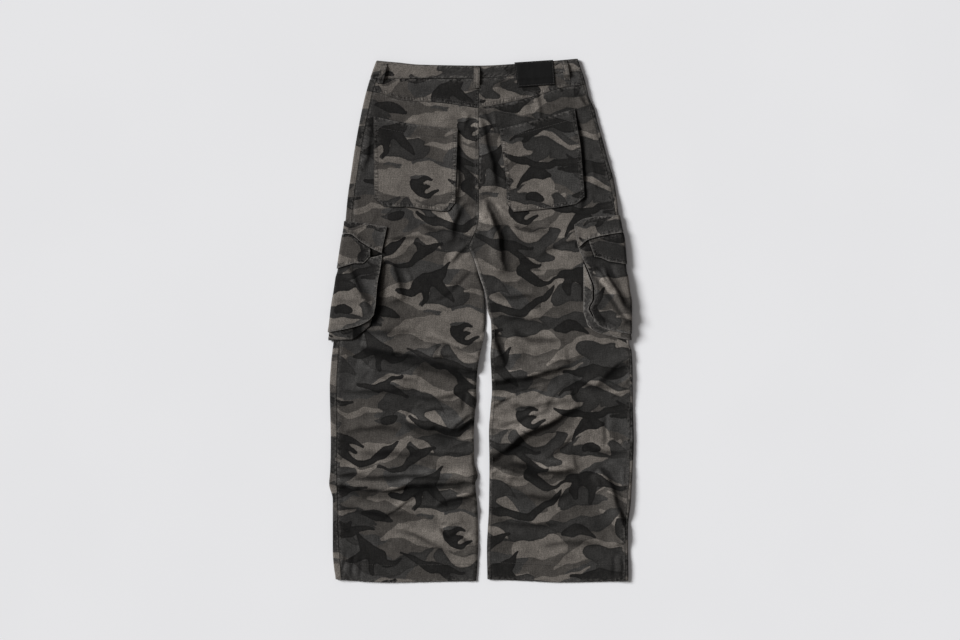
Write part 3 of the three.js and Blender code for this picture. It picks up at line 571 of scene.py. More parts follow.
def inner_edge(side, y):
    return np.where(y > CROTCH_Y, SEAT_SEAM(y), INSEAM[side](y))


def lift(side, x, y):
    """How far the front panel is lifted by what lies under it."""
    inward = TOWARDS[side] * (SIDE_OUTLINE[side](y) - x)
    across = 1 - ease(UNDER_REACH, UNDER_REACH + CARGO_FADE, inward)
    rising = ease(CARGO_LOW_Y - CARGO_FADE, CARGO_LOW_Y, y)
    falling = 1 - ease(CARGO_HIGH_Y, CARGO_HIGH_Y + CARGO_FADE, y)
    waist = WAIST_LIFT * bell(np.maximum(0, WAIST_LOW(x) - y), WAIST_RISE_REACH)
    lapped = 0
    if side == "right":
        lapped = (1 - ease(30, 60, x - SEAT_SEAM(y))) * ease(211, 240, y)
    return CARGO_LIFT * across * rising * falling + waist + FLY_LIFT * lapped


def below_crotch(y):
    return 1 - ease(CROTCH_Y - 60, CROTCH_Y, y)


def inseam_lift(side, x, y):
    inward = x - inner_edge(side, y)
    rolled = 1 - INSEAM_ROLL * bell(inward, INSEAM_ROLL_REACH)
    return INSEAM_LIFT * below_crotch(y) * bell(inward, INSEAM_REACH) * rolled


def thinned(side, x, y):
    """Share of the cloth's thickness that is left where the seam between the legs is pressed."""
    return 1 - EDGE_THINNING * below_crotch(y) * bell(x - inner_edge(side, y), EDGE_PRESS_REACH)


def leg_top(side, x, y):
    """Height of the outer face of the back of a leg."""
    to_side = TOWARDS[side] * (SIDE_SEAM[side](y) - x)
    side_share = bell(np.maximum(0, to_side), SIDE_RISE_REACH)
    waist_share = bell(np.maximum(0, WAIST_LOW(x) - y), WAIST_RISE_REACH)
    rise = SIDE_RISE * (1 - (1 - side_share) * (1 - waist_share))
    hem_top = HEM[side](x) + HEM_HEIGHT
    hem_step = HEM_STEP * (1 - ease(hem_top, hem_top + 8, y))
    under = lift(side, x, y) + inseam_lift(side, x, y) + CLOTH
    pressed = EDGE_PRESS * below_crotch(y) * bell(x - inner_edge(side, y), EDGE_PRESS_REACH)
    top = under + CLOTH + AIR_BETWEEN_PANELS + rise + hem_step + read_field(FOLDS, x, y)
    return np.maximum(top, under + CLOTH + SEAM_GAP / 2) - pressed


def front_middle(side, x, y):
    return lift(side, x, y) + inseam_lift(side, x, y) + CLOTH / 2


CLEAR_CELLS = 6


def clear_field(side):
    """Heights just above a leg for what lies on it: the highest nearby, softened."""
    top = leg_top(side, GRID_X, GRID_Y)
    highest = top
    for axis in (0, 1):
        for step in (-CLEAR_CELLS, CLEAR_CELLS):
            highest = np.maximum(highest, np.roll(top, step, axis))
    return soften(highest, 3) + LAYER_GAP


CLEAR = {side: clear_field(side) for side in SIDES}


def on_leg(side, x, y):
    return read_field(CLEAR[side], x, y)


def bag_face(side, x, y):
    """Height of the outer face of a cargo bag. It stands highest along its inner and lower edges."""
    cut = CARGO[side]
    to_inner = np.abs(x - cut["bag_inner"](y))
    to_low = np.maximum(0, y - cut["bag_low"](x))
    edge = np.maximum(bell(to_inner, BAG_EDGE_REACH), 0.6 * bell(to_low, BAG_EDGE_REACH))
    folded = (1 - ease(92, 116, y)) * read_field(BAG_FOLDS, x, y)
    below_header = 1 - ease(-28, -5, y - cut["header_low"](x))
    return on_leg(side, x, y) + CLOTH + (BAG_STAND + BAG_EDGE_STAND * edge) * below_header + folded


# Grids of cloth
def spaced(length, cell, dense_start=True, dense_end=True):
    """Shares from 0 to 1 along a length, closer together at its sewn ends."""
    near = np.array([step for step in EDGE_STEPS if step < length * 0.45])
    start = near[-1] if dense_start else 0
    end = near[-1] if dense_end else 0
    count = max(1, round((length - start - end) / cell))
    middle = np.linspace(start, length - end, count + 1)
    parts = [near[:-1] if dense_start else [], middle, (length - near[:-1])[::-1] if dense_end else []]
    return np.concatenate(parts) / length


def guide_rows(guides, lengths, cell, dense_start=True, dense_end=True):
    """Row numbers through the guides: 0 is the first guide, 1 the second, and so on."""
    rows = []
    last = len(lengths) - 1
    for k, length in enumerate(lengths):
        shares = spaced(length, cell, dense_start and k == 0, dense_end and k == last)
        rows.append(k + shares[: None if k == last else -1])
    numbers = np.concatenate(rows)
    below = np.minimum(numbers.astype(int), len(guides) - 2)
    part = (numbers - below)[:, None]

    def row(x):
        x = np.broadcast_to(x, (len(numbers), np.shape(x)[-1]))
        heights = np.stack([np.broadcast_to(guide(x), x.shape) for guide in guides])
        index = np.arange(len(numbers))
        return mix(heights[below, index], heights[below + 1, index], part)

    return row


def meet(row, column, near, steps=8):
    """Where the columns of a piece meet its rows."""
    x, y = near, row(near)
    for _ in range(steps):
        x = column(y)
        y = row(x)
    return x, y


def arc_along(at, axis):
    """Length along the grid from its first row or column."""
    steps = np.linalg.norm(np.diff(at, axis=axis), axis=2)
    start = np.zeros_like(np.take(steps, [0], axis))
    return np.concatenate([start, np.cumsum(steps, axis)], axis)


def flat_sheet(left, right, guides, lengths, width, top, cell=CELL, row_cell=None, thickness=CLOTH):
    """A piece that lies flat between two edges and two guides, with the given height of its outer face."""
    shares = spaced(width, cell)[None, :]
    row = guide_rows(guides, lengths, row_cell or cell)
    near = np.full(shares.shape, float(left(0)))
    x, y = meet(row, lambda at_y: mix(left(at_y), right(at_y), shares), near)
    edges = {
        "left": np.abs(x - left(y)),
        "right": np.abs(right(y) - x),
        "first": np.abs(guides[0](x) - y),
        "last": np.abs(y - guides[-1](x)),
    }
    at = np.stack([x, y, top(x, y) - thickness / 2], -1)
    out = np.broadcast_to([0.0, 0.0, 1.0], at.shape).copy()
    return {"at": at, "out": out, "edges": edges, "cut": np.stack([x, y], -1), "thickness": thickness}


def wrap_sheet(sign, out, low, top, guides, low_guides, lengths, spans, low_middle, top_middle, turn,
               cell=CELL, thickness=CLOTH):
    """A piece that goes round the side of the leg: an arm below, half a turn, and an arm on top."""
    def start(y):
        return out(y) - sign * (turn + thickness / 2)

    low_length, top_length = spans
    turn_count = 10
    shares = {
        "low": spaced(low_length, WIDE_CELL, True, False)[:-1],
        "turn": np.arange(turn_count) / turn_count,
        "top": spaced(top_length, cell, False, True),
    }
    columns = {
        "low": lambda y: mix(low(y), start(y), shares["low"]),
        "turn": lambda y: start(y) + sign * turn * np.sin(math.pi * shares["turn"]),
        "top": lambda y: mix(start(y), top(y), shares["top"]),
    }
    rows = {
        "low": guide_rows(low_guides, lengths, cell),
        "turn": guide_rows(guides, lengths, cell),
        "top": guide_rows(guides, lengths, cell),
    }
    ats, outs, firsts, lasts = [], [], [], []
    for arm, column in columns.items():
        near = np.full((1, len(shares[arm])), float(out(0)))
        x, y = meet(rows[arm], column, near)
        x = np.broadcast_to(x, y.shape)
        normal = np.zeros((*x.shape, 3))
        if arm == "low":
            z = low_middle(x, y)
            normal[..., 2] = -1
        elif arm == "top":
            z = top_middle(x, y)
            normal[..., 2] = 1
        else:
            x0 = start(y)
            z0 = low_middle(x0, y)
            half = (top_middle(x0, y) - z0) / 2
            angle = np.broadcast_to(math.pi * shares["turn"], x.shape)
            z = z0 + half * (1 - np.cos(angle))
            normal[..., 0] = sign * half * np.sin(angle)
            normal[..., 2] = -turn * np.cos(angle)
            normal /= np.linalg.norm(normal, axis=2, keepdims=True)
        own = low_guides if arm == "low" else guides
        ats.append(np.stack([x, y, z], -1))
        outs.append(normal)
        firsts.append(np.abs(own[0](x) - y))
        lasts.append(np.abs(y - own[-1](x)))
    at = np.concatenate(ats, 1)
    arc = arc_along(at, 1)
    fold = len(shares["low"]) + turn_count
    from_fold = arc - arc[:, fold:fold + 1]
    edges = {
        "left": arc,
        "right": arc[:, -1:] - arc,
        "first": np.concatenate(firsts, 1),
        "last": np.concatenate(lasts, 1),
    }
    cut = np.stack([at[:, fold:fold + 1, 0] - sign * from_fold, at[..., 1]], -1)
    return {"at": at, "out": np.concatenate(outs, 1), "edges": edges, "cut": cut, "thickness": thickness,
            "fold": fold}


def standing_sheet(points, thickness=CLOTH):
    """A piece whose directions come from its own grid, for what stands on edge or bridges a gap."""
    along = np.gradient(points, axis=1)
    across = np.gradient(points, axis=0)
    out = np.cross(along, across)
    out /= np.linalg.norm(out, axis=2, keepdims=True)
    across_arc, along_arc = arc_along(points, 0), arc_along(points, 1)
    edges = {
        "left": along_arc,
        "right": along_arc[:, -1:] - along_arc,
        "first": across_arc,
        "last": across_arc[-1:] - across_arc,
    }
    return {"at": points.copy(), "out": out, "edges": edges, "cut": np.stack([along_arc, across_arc], -1),
            "thickness": thickness}


# Sewn edges
GROOVE_DEPTH = 0.4
GROOVE_REACH = 1.0
PUCKER = 0.5
PUCKER_REACH = 6.5
RUNG_REACH = 3.6


def sew(sheet, rows, pucker=PUCKER, seed=1):
    """Presses a groove under each row of stitches and gathers the cloth a little beside it.

    rows names the edges, each with its distances from the edge to the rows of stitches.
    """
    at, out, edges = sheet["at"], sheet["out"], sheet["edges"]
    rise, groove = np.zeros(at.shape[:2]), np.zeros(at.shape[:2])
    # Rungs beside double rows, where painted light and shade of puckers go.
    rungs = {"rungs_across": np.zeros(at.shape[:2]), "rungs_along": np.zeros(at.shape[:2])}
    for number, (edge, insets) in enumerate(rows.items()):
        distance = edges[edge]
        if len(insets) > 1:
            way = "rungs_along" if edge in ("left", "right") else "rungs_across"
            rungs[way] = np.maximum(rungs[way], bell(distance - np.mean(insets), RUNG_REACH))
        for inset in insets:
            groove = np.maximum(groove, bell(distance - inset, GROOVE_REACH))
        run = at[..., 1] if edge in ("left", "right") else at[..., 0]
        gather = soft_noise(run + 1000, run * 0 + 10 * seed + number, 4.5, 1, 20 + seed)
        rise += pucker * gather * bell(distance, PUCKER_REACH)
    rise -= GROOVE_DEPTH * groove
    sheet["at"] = at + out * rise[..., None]
    sheet.update(rungs, rows=rows, groove=groove)
    return sheet


def inset_line(sheet, edge, inset):
    """The points of a row of stitches, on the outer face, at its distance from the edge."""
    surface = sheet["at"] + sheet["out"] * (sheet["thickness"] / 2)
    distance = sheet["edges"][edge]
    others = ("first", "last") if edge in ("left", "right") else ("left", "right")
    to_ends = np.minimum(sheet["edges"][others[0]], sheet["edges"][others[1]])
    if edge in ("first", "last"):
        surface, distance, to_ends = surface.transpose(1, 0, 2), distance.T, to_ends.T
    if edge in ("right", "last"):
        surface, distance, to_ends = surface[:, ::-1], distance[:, ::-1], to_ends[:, ::-1]
    line = []
    for points, away, ends in zip(surface, distance, to_ends):
        if np.interp(inset, away, ends) >= min(inset, NEAR_ROW) - 0.05:
            line.append([np.interp(inset, away, points[:, k]) for k in range(3)])
    return np.array(line)


# Camouflage: a repeat charted from a few strokes. Each stroke is a run of (x, y, half width).
TILE_WIDTH = 360
TILE_HEIGHT = 300
TILE_STEP = 1.25
TILE_MARGIN = 14
FAR_AWAY = 99.0
WEB = 7.0
BLUNT = 2.4
GLINT_RIM = 0.8
PRINT_STRETCH = (1.15, 1.36)
# Slow and quick waves that shift the edges of the strokes: (reach, waves across, waves along, start).
SWAY_ACROSS = ((5, 0, 2, 1), (1.6, 3, 7, 0), (0.5, -5, 17, 0))
SWAY_ALONG = ((5, 2, 0, 2), (2.2, 6, 2, 0), (0.7, 14, 8, 0), (0.15, 29, -17, 0))
STROKES = {
    # black
    "claw": (
        ((0, 6, 8), (-3, -3, 9), (6, -13, 8), (22, -19, 6.5), (42, -20, 5), (62, -15, 6), (80, -4, 8),
         (92, 4, 6), (104, 10, 3)),
        ((2, 8, 8), (16, 12, 6), (30, 11, 4.5), (40, 6, 2.5)),
        ((4, 0, 7), (18, -2, 4.4), (28, -5, 2.5)),
    ),
    "mitten": (
        ((0, 1, 11), (10, 0, 10)),
        ((2, 8, 7), (16, 13, 5.5), (28, 13, 4), (37, 9, 2.5)),
        ((8, 0, 6), (22, 0, 4.5), (32, -3, 2.5)),
        ((2, -8, 7), (16, -14, 5), (32, -16, 4.5), (48, -12, 2.5)),
    ),
    "vine": (
        ((0, 0, 1.5), (22, -6, 3), (46, -6, 5.5), (66, 4, 8), (80, 16, 7), (96, 22, 3), (106, 24, 1)),
        ((70, 8, 6), (60, 18, 4), (54, 22, 1.5)),
    ),
    "branch": (
        ((0, 4, 1.5), (20, 2, 5), (44, -2, 8), (72, -4, 10), (100, -2, 8), (126, 4, 4), (144, 10, 1.5)),
        ((60, -4, 8), (40, -14, 6.5), (16, -22, 5), (-8, -26, 2)),
        ((28, -18, 5), (22, -28, 4), (12, -34, 2.5)),
    ),
    "figure": (
        ((0, 0, 12), (18, 4, 13), (34, 14, 10), (46, 26, 5), (52, 34, 2)),
        ((4, -4, 10), (-14, -10, 7), (-30, -8, 5), (-40, -4, 2)),
        ((14, -6, 9), (16, -22, 6), (10, -32, 3)),
        ((30, 4, 9), (46, -6, 7), (60, -14, 5), (70, -22, 2)),
    ),
    "arc": (
        ((0, 14, 2), (18, 2, 5.5), (44, -6, 7), (74, -8, 6.5), (104, -2, 6), (130, 10, 6), (148, 20, 5),
         (158, 26, 3)),
    ),
    "comma": (
        ((0, 0, 3), (12, 3, 7), (28, 2, 8), (42, -4, 5), (52, -10, 2)),
    ),
    "egg": (
        ((0, 0, 4.5), (10, -1, 6.5), (20, -3, 4)),
    ),
    "dragon": (
        ((0, 10, 6), (16, 8, 9), (36, 4, 12), (58, -4, 10), (80, -10, 6), (104, -12, 4), (124, -10, 1.5)),
        ((20, 4, 9), (14, -10, 9), (16, -24, 6)),
        ((44, -6, 8), (48, -22, 6), (42, -36, 4)),
    ),
    "twig": (
        ((0, 0, 1.5), (18, 3, 4), (38, 2, 5), (60, -4, 4), (78, -8, 1.5)),
        ((34, 2, 4), (48, 12, 3), (60, 16, 1.5)),
    ),
    "boot": (
        ((0, 0, 7), (14, -8, 9), (28, -16, 7), (44, -20, 3), (60, -20, 1)),
        ((2, 4, 6), (18, 8, 4.5), (30, 8, 2)),
    ),
    # dark and cool
    "mass": (
        ((0, 0, 14), (26, 8, 20), (58, 6, 24), (92, 0, 22), (122, 6, 16), (146, 4, 6), (158, 0, 2)),
        ((30, -10, 14), (14, -26, 9), (-6, -34, 5), (-18, -36, 2)),
        ((90, -8, 14), (100, -28, 8), (120, -36, 3)),
    ),
    "slab": (
        ((0, 0, 5), (24, 4, 12), (54, 2, 16), (88, 6, 14), (116, 2, 7), (132, -2, 2)),
    ),
    "lobe": (
        ((0, 0, 10), (20, -6, 17), (46, -4, 18), (68, 6, 12), (84, 14, 4)),
        ((46, -8, 12), (60, -22, 8), (80, -28, 3)),
    ),
    "swoop": (
        ((0, 16, 3), (22, 4, 9), (52, -4, 13), (86, -4, 12), (116, 6, 8), (138, 18, 2)),
    ),
    "paw": (
        ((0, 0, 12), (22, 2, 16), (44, -2, 12)),
        ((40, 4, 8), (58, 10, 6), (70, 12, 2)),
        ((42, -6, 8), (60, -8, 6), (74, -10, 2)),
    ),
    # light
    "band": (
        ((0, -4, 2), (22, 4, 8), (52, 8, 12), (86, 4, 13), (118, -2, 10), (144, 0, 5), (160, 4, 1.5)),
    ),
    "crescent": (
        ((0, 16, 1.5), (18, 4, 7), (44, -6, 12), (76, -8, 13), (106, -2, 9), (130, 10, 1.5)),
    ),
    "wedge": (
        ((0, 0, 1.5), (26, 2, 8), (56, 0, 16), (84, -4, 18), (106, -8, 12), (120, -16, 4)),
        ((90, 6, 10), (108, 16, 5), (124, 20, 1.5)),
    ),
    "tooth": (
        ((0, 0, 8), (18, -2, 13), (36, -8, 9), (48, -20, 2)),
        ((4, 4, 8), (-14, 10, 5), (-30, 12, 1.5)),
    ),
    "ribbon": (
        ((0, 0, 1.5), (20, 6, 5), (48, 4, 7), (80, -4, 7), (112, -4, 6), (140, 4, 4), (158, 8, 1.5)),
    ),
    "cheek": (
        ((0, 0, 12), (24, 6, 17), (50, 2, 16), (70, -8, 8)),
        ((20, 14, 9), (14, 28, 5), (16, 36, 2)),
    ),
}
# Where the strokes lie in the repeat: (shape, x, y, size, turn in degrees, mirror).
LAYERS = {
    "cool": (
        ("mass", 20, 30, 0.9, 4, 1), ("lobe", 210, 70, 1.2, -8, 1), ("mass", 330, 150, 0.9, -4, -1),
        ("slab", 60, 190, 1.3, 5, 1), ("lobe", 240, 230, 1.3, 6, -1), ("paw", 110, 270, 1.4, -6, 1),
        ("slab", 270, 10, 1.1, -5, 1),
    ),
    "light": (
        ("band", 6, 66, 1.1, 4, 1), ("wedge", 180, 40, 1.1, -5, 1), ("cheek", 300, 86, 1.1, 8, 1),
        ("crescent", 90, 118, 1.2, -4, 1), ("tooth", 250, 152, 1.2, 6, 1), ("wedge", 130, 178, 1.05, 6, -1),
        ("ribbon", 176, 206, 1.2, -5, 1), ("crescent", 326, 214, 1.2, 5, 1), ("cheek", 90, 250, 1.05, -8, -1),
        ("wedge", 200, 278, 1.05, 4, 1), ("tooth", 20, 290, 1.2, 0, -1), ("band", 296, 8, 0.9, -6, 1),
    ),
    "glint": (
        ("ribbon", 70, 20, 0.55, -4, 1), ("tooth", 250, 112, 0.6, 4, 1), ("crescent", 20, 142, 0.5, 4, -1),
        ("ribbon", 200, 166, 0.6, 5, -1), ("wedge", 40, 238, 0.55, -5, 1),
        ("crescent", 300, 258, 0.55, -4, 1),
        ("tooth", 150, 88, 0.6, -6, -1), ("ribbon", 330, 44, 0.6, 3, 1),
    ),
    "dark": (
        ("mass", 60, 8, 0.85, -3, 1), ("slab", 240, 106, 0.95, 4, 1), ("swoop", 350, 116, 1.0, 3, 1),
        ("lobe", 140, 76, 1.0, 8, -1), ("mass", 200, 176, 0.7, -6, 1), ("paw", 30, 156, 1.0, 4, 1),
        ("slab", 20, 232, 0.95, -6, 1), ("swoop", 150, 232, 1.0, 4, 1), ("lobe", 300, 250, 1.05, -6, 1),
        ("paw", 330, 36, 1.0, 6, -1), ("slab", 100, 290, 0.7, 4, 1),
    ),
    "black": (
        ("branch", 36, 40, 0.95, 3, 1), ("figure", 250, 46, 0.95, 4, 1), ("claw", 120, 112, 0.95, -4, 1),
        ("arc", 246, 140, 0.9, 4, 1), ("comma", 16, 110, 1.1, -4, 1), ("dragon", 36, 178, 0.9, 4, 1),
        ("vine", 186, 82, 0.95, 2, 1), ("egg", 200, 152, 1.1, 0, 1), ("boot", 326, 198, 1.05, 6, 1),
        ("twig", 150, 202, 1.2, -6, 1), ("figure", 196, 250, 0.85, -10, -1),
        ("branch", 344, 232, 0.8, -5, -1),
        ("mitten", 318, 282, 0.8, 10, 1), ("comma", 96, 264, 1.1, 8, -1), ("arc", 16, 286, 0.85, -3, 1),
        ("egg", 60, 226, 1.2, 10, 1), ("comma", 170, 14, 1.0, -6, 1), ("twig", 190, 292, 1.0, 8, -1),
    ),
}


def smooth_run(run, parts=4):
    """Points of an even curve through the points of a stroke."""
    rows = np.array(run, float)
    rows = np.vstack([2 * rows[0] - rows[1], rows, 2 * rows[-1] - rows[-2]])
    points = []
    for a, b, c, d in zip(rows, rows[1:], rows[2:], rows[3:]):
        slope, bend, twist = c - a, 2 * a - 5 * b + 4 * c - d, 3 * b - a - 3 * c + d
        for t in np.arange(parts) / parts:
            points.append(0.5 * (2 * b + slope * t + bend * t**2 + twist * t**3))
    points.append(rows[-2])
    points = np.array(points)
    points[:, 2] = np.maximum(points[:, 2], BLUNT)
    return points


def smooth_union(a, b, reach):
    """The nearer of two distances, with a web where they meet."""
    join = np.clip(0.5 + (a - b) / (2 * reach), 0, 1)
    return mix(a, b, join) - reach * join * (1 - join)


def paint(field, x, y, runs, place):
    """Lays one shape of strokes into the repeat, as its distance from each point."""
    _, x0, y0, size, turn, mirror = place
    cos, sin = math.cos(math.radians(turn)), math.sin(math.radians(turn))
    turned = np.array([[mirror * cos, -sin], [mirror * sin, cos]]) * size
    lines = []
    for run in runs:
        points = smooth_run(run)
        lines.append(np.column_stack([points[:, :2] @ turned.T + (x0, y0), points[:, 2] * size]))
    everything = np.concatenate(lines)
    low = everything[:, :2].min(0) - everything[:, 2].max() - TILE_MARGIN
    high = everything[:, :2].max(0) + everything[:, 2].max() + TILE_MARGIN
    columns = np.arange(int(low[0] / TILE_STEP) - 1, int(high[0] / TILE_STEP) + 1)
    rows = np.arange(int(low[1] / TILE_STEP) - 1, int(high[1] / TILE_STEP) + 1)
    window = np.ix_(rows % field.shape[0], columns % field.shape[1])
    wx = x[window] + (columns // field.shape[1]) * TILE_WIDTH
    wy = y[window] + (rows // field.shape[0])[:, None] * TILE_HEIGHT
    stroke = np.full(wx.shape, FAR_AWAY)
    for points in lines:
        nearest = np.full(wx.shape, FAR_AWAY)
        for (ax, ay, ar), (bx, by, br) in zip(points, points[1:]):
            run_x, run_y = bx - ax, by - ay
            share = np.clip(((wx - ax) * run_x + (wy - ay) * run_y) / (run_x**2 + run_y**2), 0, 1)
            away = np.hypot(wx - ax - share * run_x, wy - ay - share * run_y) - mix(ar, br, share)
            nearest = np.minimum(nearest, away)
        stroke = smooth_union(stroke, nearest, WEB / 2)
    field[window] = np.minimum(field[window], stroke)


def sway(x, y, waves):
    across, along = 2 * math.pi * x / TILE_WIDTH, 2 * math.pi * y / TILE_HEIGHT
    return sum(reach * np.sin(m * across + n * along + start) for reach, m, n, start in waves)


def camouflage_tile():
    """Distance to each tone of the print, on the grid of one repeat."""
    x, y = np.meshgrid(np.arange(0, TILE_WIDTH, TILE_STEP), np.arange(0, TILE_HEIGHT, TILE_STEP))
    swayed_x, swayed_y = x + sway(x, y, SWAY_ACROSS), y + sway(x, y, SWAY_ALONG)
    tile = {}
    for layer, places in LAYERS.items():
        field = np.full(x.shape, FAR_AWAY)
        for place in places:
            paint(field, swayed_x, swayed_y, STROKES[place[0]], place)
        tile[layer] = np.clip(field, -12, 12)
    glint = tile.pop("glint")
    tile["light"] = np.minimum(tile["light"], glint)
    tile["dark"] = np.maximum(tile["dark"], GLINT_RIM - glint)
    return tile


PRINT = camouflage_tile()


def printed(layer, u, v):
    """Distance to one tone of the print at a place in the cut."""
    field = PRINT[layer]
    rows, columns = field.shape
    gu, gv = (u / PRINT_STRETCH[0] / TILE_STEP) % columns, (v / PRINT_STRETCH[1] / TILE_STEP) % rows
    iu, iv = gu.astype(int) % columns, gv.astype(int) % rows
    next_u, next_v = (iu + 1) % columns, (iv + 1) % rows
    tu, tv = gu - np.floor(gu), gv - np.floor(gv)
    low = mix(field[iv, iu], field[iv, next_u], tu)
    high = mix(field[next_v, iu], field[next_v, next_u], tu)
    return mix(low, high, tv)


# Where each piece was cut from the cloth: shift across, shift along, and turn in degrees.
CUTS = {
    "waistband": (140, 300, 3),
    "yoke_left": (310, 20, -8), "yoke_right": (60, 250, 9),
    "back_leg_left": (0, 0, 2), "back_leg_right": (290, 170, -2),
    "front_leg_left": (180, 90, 1), "front_leg_right": (400, 330, -1),
    "back_pocket_left": (95, 120, 3), "back_pocket_right": (420, 60, 6),
    "cargo_header_left": (30, 330, 0), "cargo_header_right": (250, 220, 4),
    "cargo_flap_left": (200, 150, 2), "cargo_flap_right": (510, 20, 0),
    "cargo_bag_left": (360, 280, -3), "cargo_bag_right": (110, 40, 2),
    "cargo_gusset_left": (480, 200, 0), "cargo_gusset_right": (20, 90, 0),
    "belt_loop_back_left": (562, 291, 90), "belt_loop_back_centre": (80, 10, 90),
    "belt_loop_back_right": (845, -53, 90),
    "belt_loop_front_left": (220, 60, 0), "belt_loop_front_right": (40, 180, 0),
}


# Meshes
def mesh_from_arrays(name, points, quads, smooth=True):
    mesh = bpy.data.meshes.new(name)
    mesh.vertices.add(len(points))
    mesh.vertices.foreach_set("co", (points * MM).astype(np.float32).ravel())
    mesh.loops.add(quads.size)
    mesh.loops.foreach_set("vertex_index", quads.astype(np.int32).ravel())
    mesh.polygons.add(len(quads))
    mesh.polygons.foreach_set("loop_start", np.arange(0, quads.size, 4, dtype=np.int32))
    mesh.polygons.foreach_set("use_smooth", np.full(len(quads), smooth))
    mesh.update(calc_edges=True)
    return mesh


def wall_quads(rows, columns):
    """Faces of a closed wall: the outer grid, the inner grid, and the four edges between them."""
    outer = np.arange(rows * columns).reshape(rows, columns)
    inner = outer + rows * columns

    def cells(grid):
        return np.stack([grid[:-1, :-1], grid[:-1, 1:], grid[1:, 1:], grid[1:, :-1]], -1).reshape(-1, 4)

    def strip(a, b):
        return np.stack([a[1:], a[:-1], b[:-1], b[1:]], -1)

    return np.concatenate([
        cells(outer), cells(inner)[:, ::-1],
        strip(outer[0], inner[0]), strip(inner[-1], outer[-1]),
        strip(inner[:, 0], outer[:, 0]), strip(outer[:, -1], inner[:, -1]),
    ])


def volume_of(points, quads):
    a, b, c, d = (points[quads[:, k]] for k in range(4))
    return np.einsum("ij,ij->", a, np.cross(b, c)) + np.einsum("ij,ij->", a, np.cross(c, d))


def closed_wall(name, at, out, half, material):
    """The wall between an outer and an inner grid, none of it below the surface that it lies on."""
    points = np.concatenate([
        (at + out * half[..., None]).reshape(-1, 3),
        (at - out * half[..., None]).reshape(-1, 3),
    ])
    points[:, 2] = np.maximum(points[:, 2], 0)
    quads = wall_quads(*at.shape[:2])
    if volume_of(points, quads) < 0:
        quads = quads[:, ::-1]
    mesh = mesh_from_arrays(name, points, quads)
    mesh.materials.append(material)
    return mesh, quads


def placed(name, content):
    """Puts a mesh, light or camera into the scene."""
    thing = bpy.data.objects.new(name, content)
    bpy.context.scene.collection.objects.link(thing)
    return thing


def to_nearest_edge(sheet):
    return np.minimum.reduce(list(sheet["edges"].values()))


def cut_size(at):
    """Flat width, length and area of the piece before it was sewn, in metres."""
    u, v = np.diff(at, axis=1)[:-1], np.diff(at, axis=0)[:, :-1]
    area = np.linalg.norm(np.cross(u, v), axis=2).sum() * MM**2
    width, length = arc_along(at, 1)[:, -1].max() * MM, arc_along(at, 0)[-1].max() * MM
    return width, length, min(area, width * length)


def cloth_piece(name, sheet, painted_crease_shade=None, bright=0.0, wear_and_edge_shade=1.0):
    """Makes the closed wall of a cut piece with its print, puts it under the root body and hides the imported
    part of that name.
    """
    at = sheet["at"]
    nearest_edge = to_nearest_edge(sheet)
    rim = np.clip(nearest_edge / RIM, 0, 1)
    half = sheet["thickness"] / 2 * np.sqrt(np.clip(1 - (1 - rim) ** 2, THIN_RIM, 1)) * sheet.get("thin", 1)
    mesh, quads = closed_wall(name, at, sheet["out"], half, CAMO_TWILL)

    shift_u, shift_v, turn = CUTS[name]
    cos, sin = math.cos(math.radians(turn)), math.sin(math.radians(turn))
    u = sheet["cut"][..., 0] * cos - sheet["cut"][..., 1] * sin + shift_u
    v = sheet["cut"][..., 0] * sin + sheet["cut"][..., 1] * cos + shift_v
    # Rubbed wear along the edges, which also carries the painted shade of small gathers there.
    wear_and_gather_shade = wear_and_edge_shade * (0.7 * bell(nearest_edge - 2.6, 1.6) + 0.5 * bell(nearest_edge, 9))
    values = {layer: printed(layer, u, v) for layer in PRINT}
    values["wear_and_gather_shade"] = wear_and_gather_shade
    # Painted shade in the gap at each edge and in the grooves under the rows of stitches.
    values["seam"] = np.maximum(wear_and_edge_shade * (1 - bright) * bell(nearest_edge, 0.9), 0.85 * sheet.get("groove", 0))
    values["pale"] = np.maximum(bright * bell(nearest_edge, 1.5), sheet.get("pale", 0))
    for key in ("shaded", "rungs_across", "rungs_along"):
        values[key] = sheet.get(key, 0) + 0 * wear_and_gather_shade
    values["painted_crease_shade"] = 0 * wear_and_gather_shade if painted_crease_shade is None else read_field(painted_crease_shade, at[..., 0], at[..., 1])
    for key, value in values.items():
        attribute = mesh.attributes.new(key, "FLOAT", "POINT")
        attribute.data.foreach_set("value", np.tile(value.ravel(), 2).astype(np.float32))
    flat = np.tile(np.stack([u, v], -1).reshape(-1, 2) * MM, (2, 1)).astype(np.float32)
    mesh.uv_layers.new(name="cut").data.foreach_set("uv", flat[quads.ravel()].ravel())

    piece = placed(name + "_cloth", mesh)
    width, length, area = cut_size(at)
    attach(piece, "root")
    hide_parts(name)


